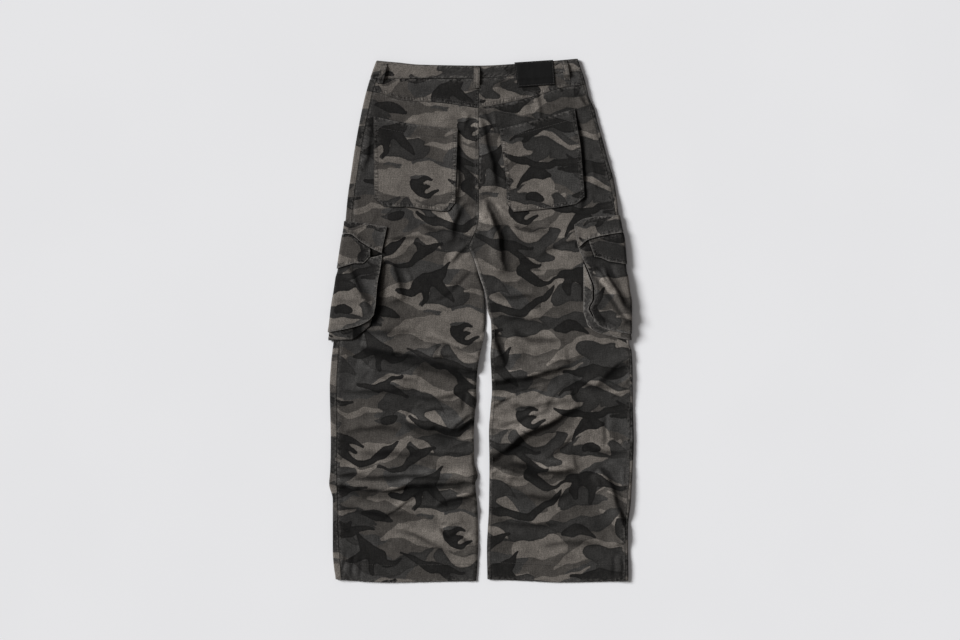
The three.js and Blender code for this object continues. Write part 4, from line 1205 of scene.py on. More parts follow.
# Materials
class Nodes:
    """Short calls for the nodes of one material."""

    def __init__(self, name, surface):
        self.material = bpy.data.materials.new(name)
        self.material.use_nodes = True
        self.tree = self.material.node_tree
        self.shader = self.tree.nodes["Principled BSDF"]
        for socket, value in surface.items():
            self.shader.inputs[socket].default_value = value

    def add(self, kind, settings=None, **inputs):
        node = self.tree.nodes.new(kind)
        for key, value in (settings or {}).items():
            setattr(node, key, value)
        for key, value in inputs.items():
            socket = node.inputs[int(key[1:])] if key[0] == "_" else node.inputs[key.replace("_", " ")]
            if isinstance(value, bpy.types.NodeSocket):
                self.tree.links.new(value, socket)
            else:
                socket.default_value = value
        return node

    def math(self, operation, a, b=0.0):
        return self.add("ShaderNodeMath", {"operation": operation}, _0=a, _1=b).outputs[0]

    def times(self, first, *others):
        for other in others:
            first = self.math("MULTIPLY", first, other)
        return first

    def painted(self, attribute):
        """A value that the mesh carries at each point."""
        return self.add("ShaderNodeAttribute", {"attribute_name": attribute}).outputs["Fac"]

    def even(self, value):
        """A value as a grey colour."""
        return self.add("ShaderNodeCombineColor", None, _0=value, _1=value, _2=value).outputs[0]

    def in_place(self):
        return self.add("ShaderNodeTexCoord").outputs["Object"]

    def mapped(self, value, low, high, to_low=0.0, to_high=1.0):
        node = self.add("ShaderNodeMapRange", {"interpolation_type": "SMOOTHSTEP"}, Value=value)
        for key, number in (("From Min", low), ("From Max", high), ("To Min", to_low), ("To Max", to_high)):
            node.inputs[key].default_value = number
        return node.outputs["Result"]

    def noise(self, vector, scale, detail=2.0):
        return self.add("ShaderNodeTexNoise", None, Vector=vector, Scale=scale, Detail=detail).outputs["Fac"]

    def scaled(self, vector, scale, turn=0.0):
        node = self.add("ShaderNodeMapping", None, Vector=vector, Scale=scale)
        node.inputs["Rotation"].default_value = (0, 0, turn)
        return node.outputs["Vector"]

    def mixed(self, factor, a, b, blend="MIX"):
        node = self.add("ShaderNodeMix", {"data_type": "RGBA", "blend_type": blend}, _0=factor, _6=a, _7=b)
        return node.outputs[2]

    def bumped(self, height, distance, strength, normal=None):
        node = self.add("ShaderNodeBump", None, Height=height, Distance=distance, Strength=strength)
        if normal is not None:
            self.tree.links.new(normal, node.inputs["Normal"])
        return node.outputs["Normal"]

    def link(self, value, socket):
        self.tree.links.new(value, self.shader.inputs[socket])


def grey(level, warmth=0.0):
    """A linear colour from a screen grey of 0 to 255, a little warmer or cooler."""
    channels = [level * (1 + warmth), level, level * (1 - warmth)]
    return (*[((c / 255 + 0.055) / 1.055) ** 2.4 for c in channels], 1.0)


TWILL_PITCH = 1.1
TWILL_TURN = math.radians(-58)
ONE_BAND = 0.31416
WARP_STREAKS = (480, 60, 1)
WEFT_STREAKS = (70, 420, 1)
RAGGED_REACH = 1.8
RUBBED_TONE = grey(118, 0.03)
PALE_TONE = grey(132, 0.03)
BASE_TONE = grey(71, 0.052)
TONES = {"cool": grey(61, 0.02), "light": grey(104, 0.055), "dark": grey(49, 0.024), "black": grey(32, 0.03)}
RIM_OF_TONE = {"dark": 0.84, "black": 0.78}
RUNG_SCALES = {"rungs_across": (300, 40, 1), "rungs_along": (40, 300, 1)}


def camo_twill():
    """Washed cotton twill, printed in five close greys.

    Creases get painted shade inside and a painted highlight on top. Sewn edges are rubbed lighter and sunk,
    with painted shade of gathers and grooves and painted light and shade of puckers in rungs.
    """
    nodes = Nodes("camo_twill", {"Roughness": 0.95, "Specular IOR Level": 0.12, "Sheen Weight": 0.05,
                                 "Sheen Roughness": 0.45})
    cut = nodes.add("ShaderNodeUVMap", {"uv_map": "cut"}).outputs["UV"]
    ragged = nodes.times(nodes.math("SUBTRACT", nodes.noise(cut, 420, 3), 0.5), RAGGED_REACH)
    colour = BASE_TONE
    for layer, tone in TONES.items():
        distance = nodes.math("ADD", nodes.painted(layer), ragged)
        if layer in RIM_OF_TONE:
            rim = nodes.mapped(distance, -3.4, -0.8, 1.06, RIM_OF_TONE[layer])
            tone = nodes.mixed(1.0, tone, nodes.even(rim), "MULTIPLY")
        colour = nodes.mixed(nodes.mapped(distance, 0.45, -0.45), colour, tone)

    # Uneven dye and weave
    blotches = nodes.mapped(nodes.noise(cut, 34, 3), 0.3, 0.7, 0.86, 1.13)
    speckle = nodes.mapped(nodes.noise(cut, 600, 2), 0.3, 0.7, 0.61, 1.39)
    streaks = nodes.mapped(nodes.noise(nodes.scaled(cut, WARP_STREAKS), 1, 2), 0.3, 0.7, 0.86, 1.14)
    weft = nodes.mapped(nodes.noise(nodes.scaled(cut, WEFT_STREAKS), 1, 2), 0.3, 0.7, 0.9, 1.1)
    wave = nodes.add("ShaderNodeTexWave", {"wave_type": "BANDS", "bands_direction": "X"},
                     Vector=nodes.scaled(cut, (1 / (TWILL_PITCH * MM),) * 3, TWILL_TURN))
    wave.inputs["Scale"].default_value = ONE_BAND
    twill = wave.outputs["Fac"]
    shade = nodes.times(blotches, speckle, streaks, nodes.mapped(twill, 0, 1, 0.9, 1.08), weft)

    # Sewn edges
    wear_and_gather_shade = nodes.painted("wear_and_gather_shade")
    rubbed = nodes.times(wear_and_gather_shade, nodes.mapped(nodes.noise(cut, 190, 3), 0.4, 0.62), 0.5)
    colour = nodes.mixed(rubbed, colour, RUBBED_TONE)
    # Painted shade of small gathers, mottled along the sewn edges.
    painted_gather_shade = nodes.times(wear_and_gather_shade, nodes.mapped(nodes.noise(cut, 240, 2), 0.5, 0.64))
    shade = nodes.times(shade, nodes.mapped(painted_gather_shade, 0, 1, 1, 0.68))
    # Painted light and shade of puckers, in rungs beside double rows of stitches.
    for way, scale in RUNG_SCALES.items():
        rungs = nodes.mapped(nodes.noise(nodes.scaled(cut, scale), 1, 1), 0.42, 0.6, -0.55, 0.3)
        shade = nodes.times(shade, nodes.math("ADD", nodes.times(nodes.painted(way), rungs), 1.0))
    # Painted shade at the sewn edges and in the grooves under the stitches.
    painted_seam_shade = nodes.times(nodes.painted("seam"), nodes.mapped(nodes.noise(cut, 420, 2), 0.35, 0.6, 0.6, 1))
    shade = nodes.times(shade, nodes.mapped(painted_seam_shade, 0, 1, 1, 0.62))
    pale = nodes.times(nodes.painted("pale"), nodes.mapped(nodes.noise(cut, 260, 2), 0.3, 0.55, 0.6, 1))
    colour = nodes.mixed(pale, colour, PALE_TONE)

    # Painted shade in creases and beside pockets, and painted highlight on crests
    shade = nodes.times(shade, nodes.mapped(nodes.painted("shaded"), 0, 1, 1, 0.09))
    shade = nodes.times(shade, nodes.mapped(nodes.painted("painted_crease_shade"), -1, 1, 1.26, 0.3))
    nodes.link(nodes.mixed(1.0, colour, nodes.even(shade), "MULTIPLY"), "Base Color")

    normal = nodes.bumped(nodes.noise(cut, 120, 4), 0.0014, 0.55)
    weave = nodes.math("ADD", twill, nodes.times(speckle, 0.6))
    nodes.link(nodes.bumped(weave, 0.00016, 0.6, normal), "Normal")
    return nodes.material


def sewing_thread():
    nodes = Nodes("sewing_thread", {"Roughness": 0.7, "Specular IOR Level": 0.3, "Sheen Weight": 0.15})
    place = nodes.in_place()
    shade = nodes.mapped(nodes.noise(place, 300, 2), 0.3, 0.7)
    nodes.link(nodes.mixed(shade, grey(54, 0.03), grey(82, 0.04)), "Base Color")
    ply = nodes.add("ShaderNodeTexWave", {"wave_type": "BANDS"}, Vector=place, Scale=900.0).outputs["Fac"]
    nodes.link(nodes.bumped(ply, 0.0001, 0.5), "Normal")
    return nodes.material


def patch_leather():
    nodes = Nodes("patch_leather", {"Specular IOR Level": 0.14})
    place = nodes.in_place()
    cells = nodes.add("ShaderNodeTexVoronoi", {"feature": "SMOOTH_F1"}, Vector=place, Scale=900.0)
    scuffs = nodes.noise(nodes.scaled(place, (90, 30, 90)), 1, 4)
    nodes.link(nodes.mixed(nodes.mapped(scuffs, 0.35, 0.75), grey(12), grey(20, 0.01)), "Base Color")
    nodes.link(nodes.mapped(scuffs, 0.3, 0.7, 0.6, 0.8), "Roughness")
    normal = nodes.bumped(nodes.noise(place, 60, 3), 0.002, 0.25)
    nodes.link(nodes.bumped(cells.outputs["Distance"], 0.0003, 0.55, normal), "Normal")
    return nodes.material


def button_plastic():
    nodes = Nodes("button_plastic", {"Specular IOR Level": 0.45})
    place = nodes.in_place()
    swirl = nodes.noise(nodes.scaled(place, (260, 90, 200)), 1, 3)
    nodes.link(nodes.mixed(nodes.mapped(swirl, 0.35, 0.7), grey(34, 0.02), grey(58, 0.05)), "Base Color")
    nodes.link(nodes.mapped(nodes.noise(place, 700, 2), 0.3, 0.7, 0.32, 0.48), "Roughness")
    return nodes.material


def paper():
    nodes = Nodes("paper", {"Roughness": 0.95, "Specular IOR Level": 0.1})
    place = nodes.in_place()
    tone = nodes.mapped(nodes.noise(place, 3, 2), 0.3, 0.7)
    nodes.link(nodes.mixed(tone, (0.795, 0.795, 0.81, 1), (0.805, 0.805, 0.82, 1)), "Base Color")
    return nodes.material


CAMO_TWILL = camo_twill()
THREAD = sewing_thread()
LEATHER = patch_leather()
BUTTON_PLASTIC = button_plastic()

# Pieces
stitch_lines = []


def stitched(sheet):
    """Keeps the rows of stitches of a sewn sheet for the needle."""
    for edge, insets in sheet["rows"].items():
        for inset in insets:
            line = inset_line(sheet, edge, inset)
            if len(line) > 1:
                stitch_lines.append(line)
    return sheet


def waistband():
    """One band, lapped at the middle of the front, that turns round both sides."""
    middle = float(SEAT_SEAM(500))
    low = BAND_FLOOR + BAND_CLOTH / 2
    lap_middle = low + BAND_CLOTH + SEAM_GAP
    half = (BAND_TOP_MIDDLE - low) / 2
    shares = spaced(32, 2.2)[:, None]

    def row(x):
        x = np.broadcast_to(x, (len(shares), np.shape(x)[-1]))
        return mix(WAIST_LOW(x), WAIST_TOP(x), shares)

    def start(side, y):
        return SIDE_OUTLINE[side](y) - TOWARDS[side] * (BAND_TURN + BAND_CLOTH / 2)

    def turn(side, angle):
        return lambda y: start(side, y) + TOWARDS[side] * BAND_TURN * np.sin(angle)

    lap_end, lap_start = middle + FLY_LAP / 2, middle - FLY_LAP / 2
    arm = np.linspace(0, 1, 46)[:-1]
    across = np.linspace(0, 1, 130)[:-1]
    angles = np.linspace(0, math.pi, 10)[:-1]
    parts = (
        ("low", arm, lambda y: mix(lap_end, start("left", y), arm)),
        ("left", angles, turn("left", angles)),
        ("top", across, lambda y: mix(start("left", y), start("right", y), across)),
        ("right", math.pi - angles, turn("right", math.pi - angles)),
        ("lap", None, lambda y: mix(start("right", y), lap_start, np.linspace(0, 1, 56))),
    )
    ats, outs = [], []
    for part, angle, column in parts:
        near = np.zeros((1, 56 if angle is None else len(angle)))
        x, y = meet(row, column, near)
        x = np.broadcast_to(x, y.shape)
        normal = np.zeros((*x.shape, 3))
        if part in SIDES:
            z = low + half * (1 - np.cos(angle)) + 0 * x
            normal[..., 0] = TOWARDS[part] * half * np.sin(angle)
            normal[..., 2] = -BAND_TURN * np.cos(angle)
            normal /= np.linalg.norm(normal, axis=2, keepdims=True)
        elif part == "top":
            z = np.full(x.shape, BAND_TOP_MIDDLE)
            z = z + 0.35 * soft_noise(x + 500, y, 24, 14, 31) + 0.12 * soft_noise(x + 500, y, 8, 6, 32) - 0.3
            normal[..., 2] = 1
        else:
            z = np.full(x.shape, low)
            if part == "lap":
                z = mix(lap_middle, low, ease(lap_end + 4, lap_end + 22, x))
            normal[..., 2] = -1
        ats.append(np.stack([x, y, z], -1))
        outs.append(normal)
    at = np.concatenate(ats, 1)
    arc = arc_along(at, 1)
    drop = arc_along(at, 0)
    edges = {"left": arc, "right": arc[:, -1:] - arc, "first": drop, "last": drop[-1:] - drop}
    cut = np.stack([arc, at[..., 1]], -1)
    sheet = {"at": at, "out": np.concatenate(outs, 1), "edges": edges, "cut": cut, "thickness": BAND_CLOTH}
    sew(sheet, {"first": (NEAR_ROW,), "last": (NEAR_ROW,)}, pucker=0.2, seed=2)
    cloth_piece("waistband", stitched(sheet))


def leg_and_yoke(side):
    """The yoke, the back of the leg and the front of the leg, which turns up round the side."""
    sign = TOWARDS[side]

    def lip_edge(y):
        return SIDE_SEAM[side](y) - sign * LIP_GAP

    def middle_edge(y):
        return inner_edge(side, y) + sign * HALF_GAP

    left, right = (lip_edge, middle_edge) if side == "left" else (middle_edge, lip_edge)
    seam_edge, outer_edge = ("right", "left") if side == "left" else ("left", "right")

    def top(x, y):
        """The felled seams stand a little over the leg."""
        inward = sign * (x - inner_edge(side, y))
        fell = 1 - ease(FELL_WIDTH - 0.6, FELL_WIDTH + 0.8, inward)
        above_crotch = ease(CROTCH_Y, CROTCH_Y + 12, y)
        owned = above_crotch if side == "left" else 1 - above_crotch
        return leg_top(side, x, y) + FELL_RISE * fell * owned

    def yoke_top(x, y):
        above = y - YOKE_SEAM[side](x)
        return top(x, y) + YOKE_RISE * (1 - ease(FELL_WIDTH + 1.5, FELL_WIDTH + 3, above))

    yoke_guides = [moved(WAIST_LOW, -SEAM_GAP), moved(YOKE_SEAM[side], HALF_GAP)]
    yoke = flat_sheet(left, right, yoke_guides, [48], 215, yoke_top)
    rows = {"last": (NEAR_ROW, FAR_ROW), outer_edge: (NEAR_ROW,)}
    if side == "left":
        rows[seam_edge] = (NEAR_ROW, FELL_ROW)
    sew(yoke, rows, seed=3)
    cloth_piece(f"yoke_{side}", stitched(yoke), painted_crease_shade=LEG_PAINTED_SHADE, wear_and_edge_shade=0.7)

    back_guides = [moved(YOKE_SEAM[side], -HALF_GAP), level(CROTCH_Y), HEM[side]]
    back = flat_sheet(left, right, back_guides, [285, 667], 275, top, cell=2.8, row_cell=2.2)
    sew(back, {outer_edge: (NEAR_ROW,), "last": ()}, seed=4)
    x, y = back["at"][..., 0], back["at"][..., 1]
    back["thin"] = thinned(side, x, y)
    back["groove"] = np.maximum(back["groove"], leg_rows(side, x, y, back["edges"][seam_edge]))
    back["shaded"] = shade_beside_pockets(side, x, y)
    # Painted highlight along the right leg's inner edge below the crotch, where it stands over the left leg.
    if side == "right":
        below_seat = ease(-30, 10, y) * (1 - ease(110, CROTCH_Y, y))
        back["pale"] = 0.9 * bell(back["edges"][seam_edge], 1.9) * below_seat
    cloth_piece(f"back_leg_{side}", stitched(back), painted_crease_shade=LEG_PAINTED_SHADE, wear_and_edge_shade=0.55)
    stitch_lines.append(line_on(back, [(x, float(HEM[side](x)) + HEM_HEIGHT) for x in hem_span(side)]))
    if side == "left":
        for inset in (NEAR_ROW, FELL_ROW):
            ys = np.arange(CROTCH_Y + 8, 420, 2.0)
            stitch_lines.append(line_on(back, [(float(SEAT_SEAM(y)) - inset, y) for y in ys]))
    else:
        ys = np.arange(-515, CROTCH_Y - 8, 2.0)
        stitch_lines.append(line_on(back, [(float(INSEAM[side](y)) + FELL_ROW, y) for y in ys]))

    def fly_edge(y):
        lap = FLY_EDGE_LAP * ease(FLY_LOW_Y, FLY_LOW_Y + 20, y) if side == "left" else 0
        return middle_edge(y) + lap

    guides = [moved(WAIST_LOW, -2 * SEAM_GAP), level(CROTCH_Y), HEM[side]]
    front = wrap_sheet(
        sign, SIDE_OUTLINE[side], fly_edge, SIDE_SEAM[side], guides, guides, [336, 667], (275, 10),
        lambda x, y: front_middle(side, x, y), lambda x, y: leg_top(side, x, y) - CLOTH / 2, SIDE_TURN,
        cell=4.0,
    )
    sew(front, {"right": (), "last": ()}, seed=5)
    front["thin"] = thinned(side, front["at"][..., 0], front["at"][..., 1])
    cloth_piece(f"front_leg_{side}", stitched(front), wear_and_edge_shade=0.55)


def leg_rows(side, x, y, to_seam):
    """Where the rows of the hem, the seat seam and the seam between the legs run on the back of a leg, for
    the painted shade of a groove under each; the mesh is not sunk there.
    """
    painted_seam_shade = bell(y - HEM[side](x) - HEM_HEIGHT, GROOVE_REACH)
    insets, share = ((NEAR_ROW, FELL_ROW), ease(CROTCH_Y, CROTCH_Y + 12, y))
    if side == "right":
        insets, share = (FELL_ROW,), 1 - ease(CROTCH_Y - 12, CROTCH_Y, y)
    for inset in insets:
        painted_seam_shade = np.maximum(painted_seam_shade, share * bell(to_seam - inset, GROOVE_REACH))
    return painted_seam_shade


def shade_beside_pockets(side, x, y):
    """Painted shadow close beside the pockets, in the mouth of the left bag and along the left leg's edge
    beside the right leg.
    """
    sign = TOWARDS[side]
    cut = CARGO[side]
    off_bag = -sign * (x - cut["bag_inner"](y))
    along = ease(-24, 0, y) * (1 - ease(112, 130, y))
    reach = 4 + (9 if side == "left" else 0) * bell(y - 34, 44)
    shade = along * bell(np.maximum(0, off_bag), reach)
    in_header = ease(130, 138, y) * (1 - ease(184, 190, y))
    off_header = -sign * (x - mix(cut["header_inner_low"], cut["header_inner"], (y - 134) / 53))
    if side == "left":
        mouth = ease(-1, 1, y - cut["bag_top"](x)) * (1 - ease(0, 2, y - cut["header_low"](x)))
        mouth = mouth * ease(-2, 0, -off_bag)
        between = bell(x - INSEAM["left"](y), 2.6) * ease(-40, -10, y) * (1 - ease(80, 110, y))
        shade = np.maximum(np.maximum(shade, mouth), 0.9 * between)
        shade = np.maximum(shade, in_header * bell(np.maximum(0, off_header), 2.4))
    pocket = BACK_POCKETS[side]
    beyond = np.maximum(x - pocket["right"](y), pocket["low"](x) - y)
    before = np.maximum(pocket["left"](y) - x, y - pocket["top"](x))
    outside = np.maximum(beyond, before)
    towards = np.where(beyond >= before, 0.75, 0.3)
    return np.maximum(shade, towards * bell(np.maximum(0, outside), 2.6))


def hem_span(side):
    return np.arange(-288, -8, 2.0) if side == "left" else np.arange(16, 290, 2.0)


def line_on(sheet, places):
    """A row of stitches on the back of a leg, through the given places."""
    at = sheet["at"].reshape(-1, 3)
    line = []
    for x, y in places:
        near = at[np.argmin((at[:, 0] - x) ** 2 + (at[:, 1] - y) ** 2)]
        line.append((x, y, near[2] + CLOTH / 2 + 0.1))
    heights = np.array(line)
    heights[:, 2] = np.convolve(np.pad(heights[:, 2], 2, "edge"), np.ones(5) / 5, "valid")
    return heights


BACK_POCKETS = {
    "left": {
        "left": straight_through((408, -214), (227, -213)),
        "right": straight_through((382, -46), (235, -51)),
        "top": smooth_through((-214, 408), (-187, 402), (-126, 391), (-46, 382)),
        "low": straight_through((-213, 245), (-192, 227), (-148, 227), (-76, 218), (-64, 219), (-51, 235)),
    },
    "right": {
        "left": straight_through((382, 37), (281, 51), (217, 52)),
        "right": straight_through((423, 188), (343, 200), (247, 208), (220, 208)),
        "top": smooth_through((37, 382), (94, 397), (188, 423)),
        "low": straight_through((52, 235), (66, 217), (100, 220), (150, 225), (190, 232), (208, 247)),
    },
}


OPENING_HEM = 20
OPENING_RISE = 0.9


def back_pocket(side):
    pocket = BACK_POCKETS[side]

    def top(x, y):
        opening = 1 - ease(0, 14, pocket["top"](x) - y)
        uneven = soft_noise(x + 600, y + 600, 30, 24, 41)
        return on_leg(side, x, y) + CLOTH + OPENING_RISE * opening + 0.25 * uneven

    guides = [pocket["top"], pocket["low"]]
    sheet = flat_sheet(pocket["left"], pocket["right"], guides, [168], 165, top, cell=2.6)
    rows = {edge: (NEAR_ROW, FAR_ROW) for edge in ("left", "right", "last")}
    rows["first"] = (OPENING_HEM,)
    sew(sheet, rows, seed=6)
    cloth_piece(f"back_pocket_{side}", stitched(sheet), painted_crease_shade=POCKET_PAINTED_SHADE, wear_and_edge_shade=0.8)


def cargo_pocket(side):
    """Header, flap and bag, each wrapped round the side of the leg."""
    sign = TOWARDS[side]
    cut = CARGO[side]
    out = cut["out"]

    def under(y):
        return out(y) - sign * UNDER_REACH

    def bag_out(y):
        return out(y) - sign * BAG_SHY * ease(84, 100, y)

    def lying(x, y):
        return np.full(x.shape, CLOTH / 2)

    def at_fold(guide, y):
        return float(guide(out(y) - sign * 6))

    header_low, flap_low = at_fold(cut["header_low"], 175), at_fold(cut["flap_low"], 110)
    bag_low = at_fold(cut["bag_low"], -25)
    header_inner = straight_through(
        (float(cut["header_top"](cut["header_inner"])), cut["header_inner"]), (140, cut["header_inner_low"])
    )

    def header_face(x, y):
        to_low, to_inner = y - cut["header_low"](x), np.abs(x - header_inner(y))
        thick = np.maximum(bell(to_low, HEADER_RISE_REACH), 0.5 * bell(to_inner, HEADER_RISE_REACH))
        return on_leg(side, x, y) + CLOTH + HEADER_RISE * thick

    header = wrap_sheet(
        sign, out, under, header_inner, [cut["header_top"], cut["header_low"]],
        [cut["header_top"], level(header_low)], [42], (80, 84), lying,
        lambda x, y: header_face(x, y) - CLOTH / 2, ROUND_TURN, cell=2.4,
    )
    sew(header, {"right": (NEAR_ROW,), "first": (NEAR_ROW,), "last": (NEAR_ROW, FAR_ROW)}, seed=7)
    header["pale"] = 0.95 * bell(header["edges"]["last"], 1.7)
    cloth_piece(f"cargo_header_{side}", stitched(header), bright=0.4)

    flap = wrap_sheet(
        sign, out, lambda y: out(y) - sign * FLAP_UNDER_REACH, cut["flap_inner"],
        [moved(cut["header_low"], -2 * SEAM_GAP), cut["flap_low"]],
        [level(header_low - 2 * SEAM_GAP), level(flap_low)], [56], (50, 60), lying,
        lambda x, y: bag_face(side, x, y) + FLAP_STEP - CLOTH / 2, ROUND_TURN, cell=2.4,
    )
    sew(flap, {"right": (NEAR_ROW, FAR_ROW), "last": (NEAR_ROW, FAR_ROW)}, seed=8)
    # Painted shadow under the header's edge; the right flap is darker all over.
    flap["shaded"] = np.maximum(DARK_SIDE[side], 0.9 * bell(flap["edges"]["first"], 3.2))
    flap["pale"] = 0.9 * bell(np.minimum(flap["edges"]["right"], flap["edges"]["last"]), 1.7)
    cloth_piece(f"cargo_flap_{side}", stitched(flap))

    bag = wrap_sheet(
        sign, bag_out, under, cut["bag_inner"], [cut["bag_top"], cut["bag_low"]],
        [cut["bag_top"], level(bag_low)], [142], (80, 84),
        lambda x, y: CLOTH / 2 + BAG_UNDER_FLAP * ease(84, 100, y),
        lambda x, y: bag_face(side, x, y) - CLOTH / 2, ROUND_TURN, cell=2.4,
    )
    sew(bag, {"right": (NEAR_ROW,), "last": (NEAR_ROW,)}, seed=9)
    x, y = bag["at"][..., 0], bag["at"][..., 1]
    # Painted shadow on the bag just below and beside the flap's edges; the top of the right bag is darker all
    # over.
    past_flap = np.maximum(cut["flap_low"](x) - y, sign * (cut["flap_inner"](y) - x))
    bag["shaded"] = np.maximum(0.9 * bell(np.maximum(0, past_flap), 3.4), DARK_SIDE[side] * ease(112, 124, y))
    cloth_piece(f"cargo_bag_{side}", stitched(bag), painted_crease_shade=BAG_PAINTED_SHADE, bright=0.8)


GUSSET_INSET = {"left": 4.5, "right": -2.6}
GUSSET_FOOT_INSET = 2.5
GUSSET_FOOT_X = 205
GUSSET_TUCK = 3
GUSSET_CLEAR = 2.5
GUSSET_CORNER_Y = 16
GUSSET_TOP_TURN = 4.2
GUSSET_FOOT_TURN = 7
GUSSET_UNDER_REACH = 52


def gusset(side):
    """A strip that stands under the inner edge of the bag, slopes out below it and turns round the side."""
    sign = TOWARDS[side]
    cut = CARGO[side]
    bag_inner = cut["bag_inner"]
    y = np.linspace(cut["gusset_high"], GUSSET_CORNER_Y, 40)
    inset = GUSSET_INSET[side]
    top_x, foot_x = bag_inner(y) + sign * inset, bag_inner(y) + sign * GUSSET_FOOT_INSET
    if side == "right":
        foot_x = np.minimum(foot_x, GUSSET_FOOT_X)
    corner = float(bag_inner(GUSSET_CORNER_Y))
    low_start = float(cut["out"](-30)) - sign * (ROUND_TURN + CLOTH / 2 + 2)
    t = np.linspace(0.1, 1, 36)
    low_top = mix(corner + sign * inset * 1.6, low_start, t)
    low_foot = mix(corner if side == "left" else GUSSET_FOOT_X, low_start, t)
    top_x, foot_x = np.concatenate([top_x, low_top]), np.concatenate([foot_x, low_foot])
    top_y = np.concatenate([y, cut["bag_low"](low_top) + GUSSET_TUCK])
    foot_y = np.concatenate([y, cut["gusset_foot"](low_foot)])
    top_z = bag_face(side, top_x, top_y) - CLOTH - GUSSET_CLEAR
    foot_z = on_leg(side, foot_x, foot_y) + CLOTH * 0.7
    lines = []
    top_line = (top_x, top_y, top_z, GUSSET_TOP_TURN, CLOTH * 1.5 + 2 * SEAM_GAP)
    foot_line = (foot_x, foot_y, foot_z, GUSSET_FOOT_TURN, CLOTH / 2)
    for x, along, z, reach, floor in (top_line, foot_line):
        angle = np.linspace(0, math.pi, 13)[1:]
        turn_x = x[-1] + sign * reach * np.sin(angle)
        turn_z = mix(z[-1], floor, (1 - np.cos(angle)) / 2)
        run_x = x[-1] - sign * np.linspace(0, GUSSET_UNDER_REACH, 14)[1:]
        xs = np.concatenate([x, turn_x, run_x])
        ys = np.concatenate([along, np.full(len(angle) + len(run_x), along[-1])])
        zs = np.concatenate([z, turn_z, np.full(len(run_x), floor)])
        lines.append(np.stack([xs, ys, zs], -1))
    share = np.linspace(0, 1, 9)[:, None, None]
    points = mix(lines[0][None], lines[1][None], share)
    sheet = standing_sheet(points)
    sew(sheet, {"last": ()}, pucker=0.15, seed=10)
    x, y = points[..., 0], points[..., 1]
    # Painted shade in the folded corner of the left gusset.
    if side == "left":
        sheet["shaded"] = ease(-259, -253, x) * (1 - 0.6 * ease(-242, -232, x)) * ease(0, 3, points[..., 2])
    cloth_piece(f"cargo_gusset_{side}", sheet, bright=0.7)


LOOP_WIDTH = 12
LOOP_STAND = 6.4
FRONT_LOOP_CLOTH = 1.9
BACK_LOOPS = {
    "belt_loop_back_left": ((-192, 513), (-201, 473), "left"),
    "belt_loop_back_centre": ((-8, 507), (-8, 464), "right"),
    "belt_loop_back_right": ((166, 519), (173, 480), "right"),
}


def back_loop(name):
    """Sewn down at both ends, with the middle clear for a belt."""
    (top_x, top_y), (low_x, low_y), side = BACK_LOOPS[name]
    low_foot = float(leg_top(side, np.array(low_x), np.array(low_y))) + LAYER_GAP + CLOTH / 2
    top_foot = BAND_FACE + LAYER_GAP + CLOTH / 2
    bar = BAND_FACE + LOOP_STAND - CLOTH / 2
    height = smooth_through(
        (0, top_foot), (0.1, top_foot), (0.17, mix(top_foot, bar, 0.6)), (0.24, bar), (0.45, bar + 0.2),
        (0.6, bar), (0.7, bar - 0.1), (0.79, mix(low_foot, bar, 0.55)), (0.88, low_foot), (1, low_foot),
    )
    length = math.hypot(low_x - top_x, low_y - top_y)
    share = spaced(length, 1.6)
    across = (spaced(LOOP_WIDTH, 1.5) - 0.5)[:, None]
    x = mix(top_x, low_x, share) + across * LOOP_WIDTH
    y = mix(top_y, low_y, share) + 0 * across
    z = height(share) - 0.5 * (2 * across) ** 4 * ease(0.12, 0.3, share) * (1 - ease(0.7, 0.85, share))
    sheet = standing_sheet(np.stack([x, y, z], -1))
    sheet["cut"] = np.stack([x, y], -1)
    rows = {"first": (2.4,), "last": (2.4,), "left": (NEAR_ROW, 3.2), "right": (NEAR_ROW, 3.2)}
    sew(sheet, rows, pucker=0.1, seed=11)
    cloth_piece(name, stitched(sheet))


def front_loop(name, x):
    """Lies flat between the waistband and the surface."""
    sheet = flat_sheet(
        level(x - LOOP_WIDTH / 2), level(x + LOOP_WIDTH / 2), [moved(WAIST_TOP, -2), moved(WAIST_LOW, 2)],
        [24], LOOP_WIDTH, lambda px, py: np.full(px.shape, FRONT_LOOP_CLOTH), thickness=FRONT_LOOP_CLOTH,
    )
    sheet["out"] = -sheet["out"]
    cloth_piece(name, sheet)


def patch():
    """Blank leather patch over the waistband and the top of the right yoke."""
    left, right = straight_through((466, 73), (515, 67)), straight_through((471, 148), (520, 144))
    guides = [straight_through((67, 515), (144, 520)), straight_through((73, 466), (148, 471))]

    def top(x, y):
        yoke = on_leg("right", x, y)
        on_band = ease(WAIST_LOW(x) - 12, WAIST_LOW(x) - 4, y)
        return mix(yoke, np.maximum(BAND_FACE + LAYER_GAP, yoke), on_band) + CLOTH

    sheet = flat_sheet(left, right, guides, [49], 76, top, cell=1.8)
    sew(sheet, {edge: (2.2,) for edge in ("left", "right", "first", "last")}, pucker=0.08, seed=12)
    stitched(sheet)
    rim = np.clip(to_nearest_edge(sheet) / PATCH_RIM, 0, 1)
    half = CLOTH / 2 * np.sqrt(np.clip(1 - PATCH_RIM_SHARE * (1 - rim) ** 2, THIN_RIM, 1))
    mesh, _ = closed_wall("patch", sheet["at"], sheet["out"], half, LEATHER)
    piece = placed("patch_leather_piece", mesh)
    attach(piece, "root")
    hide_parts("patch")


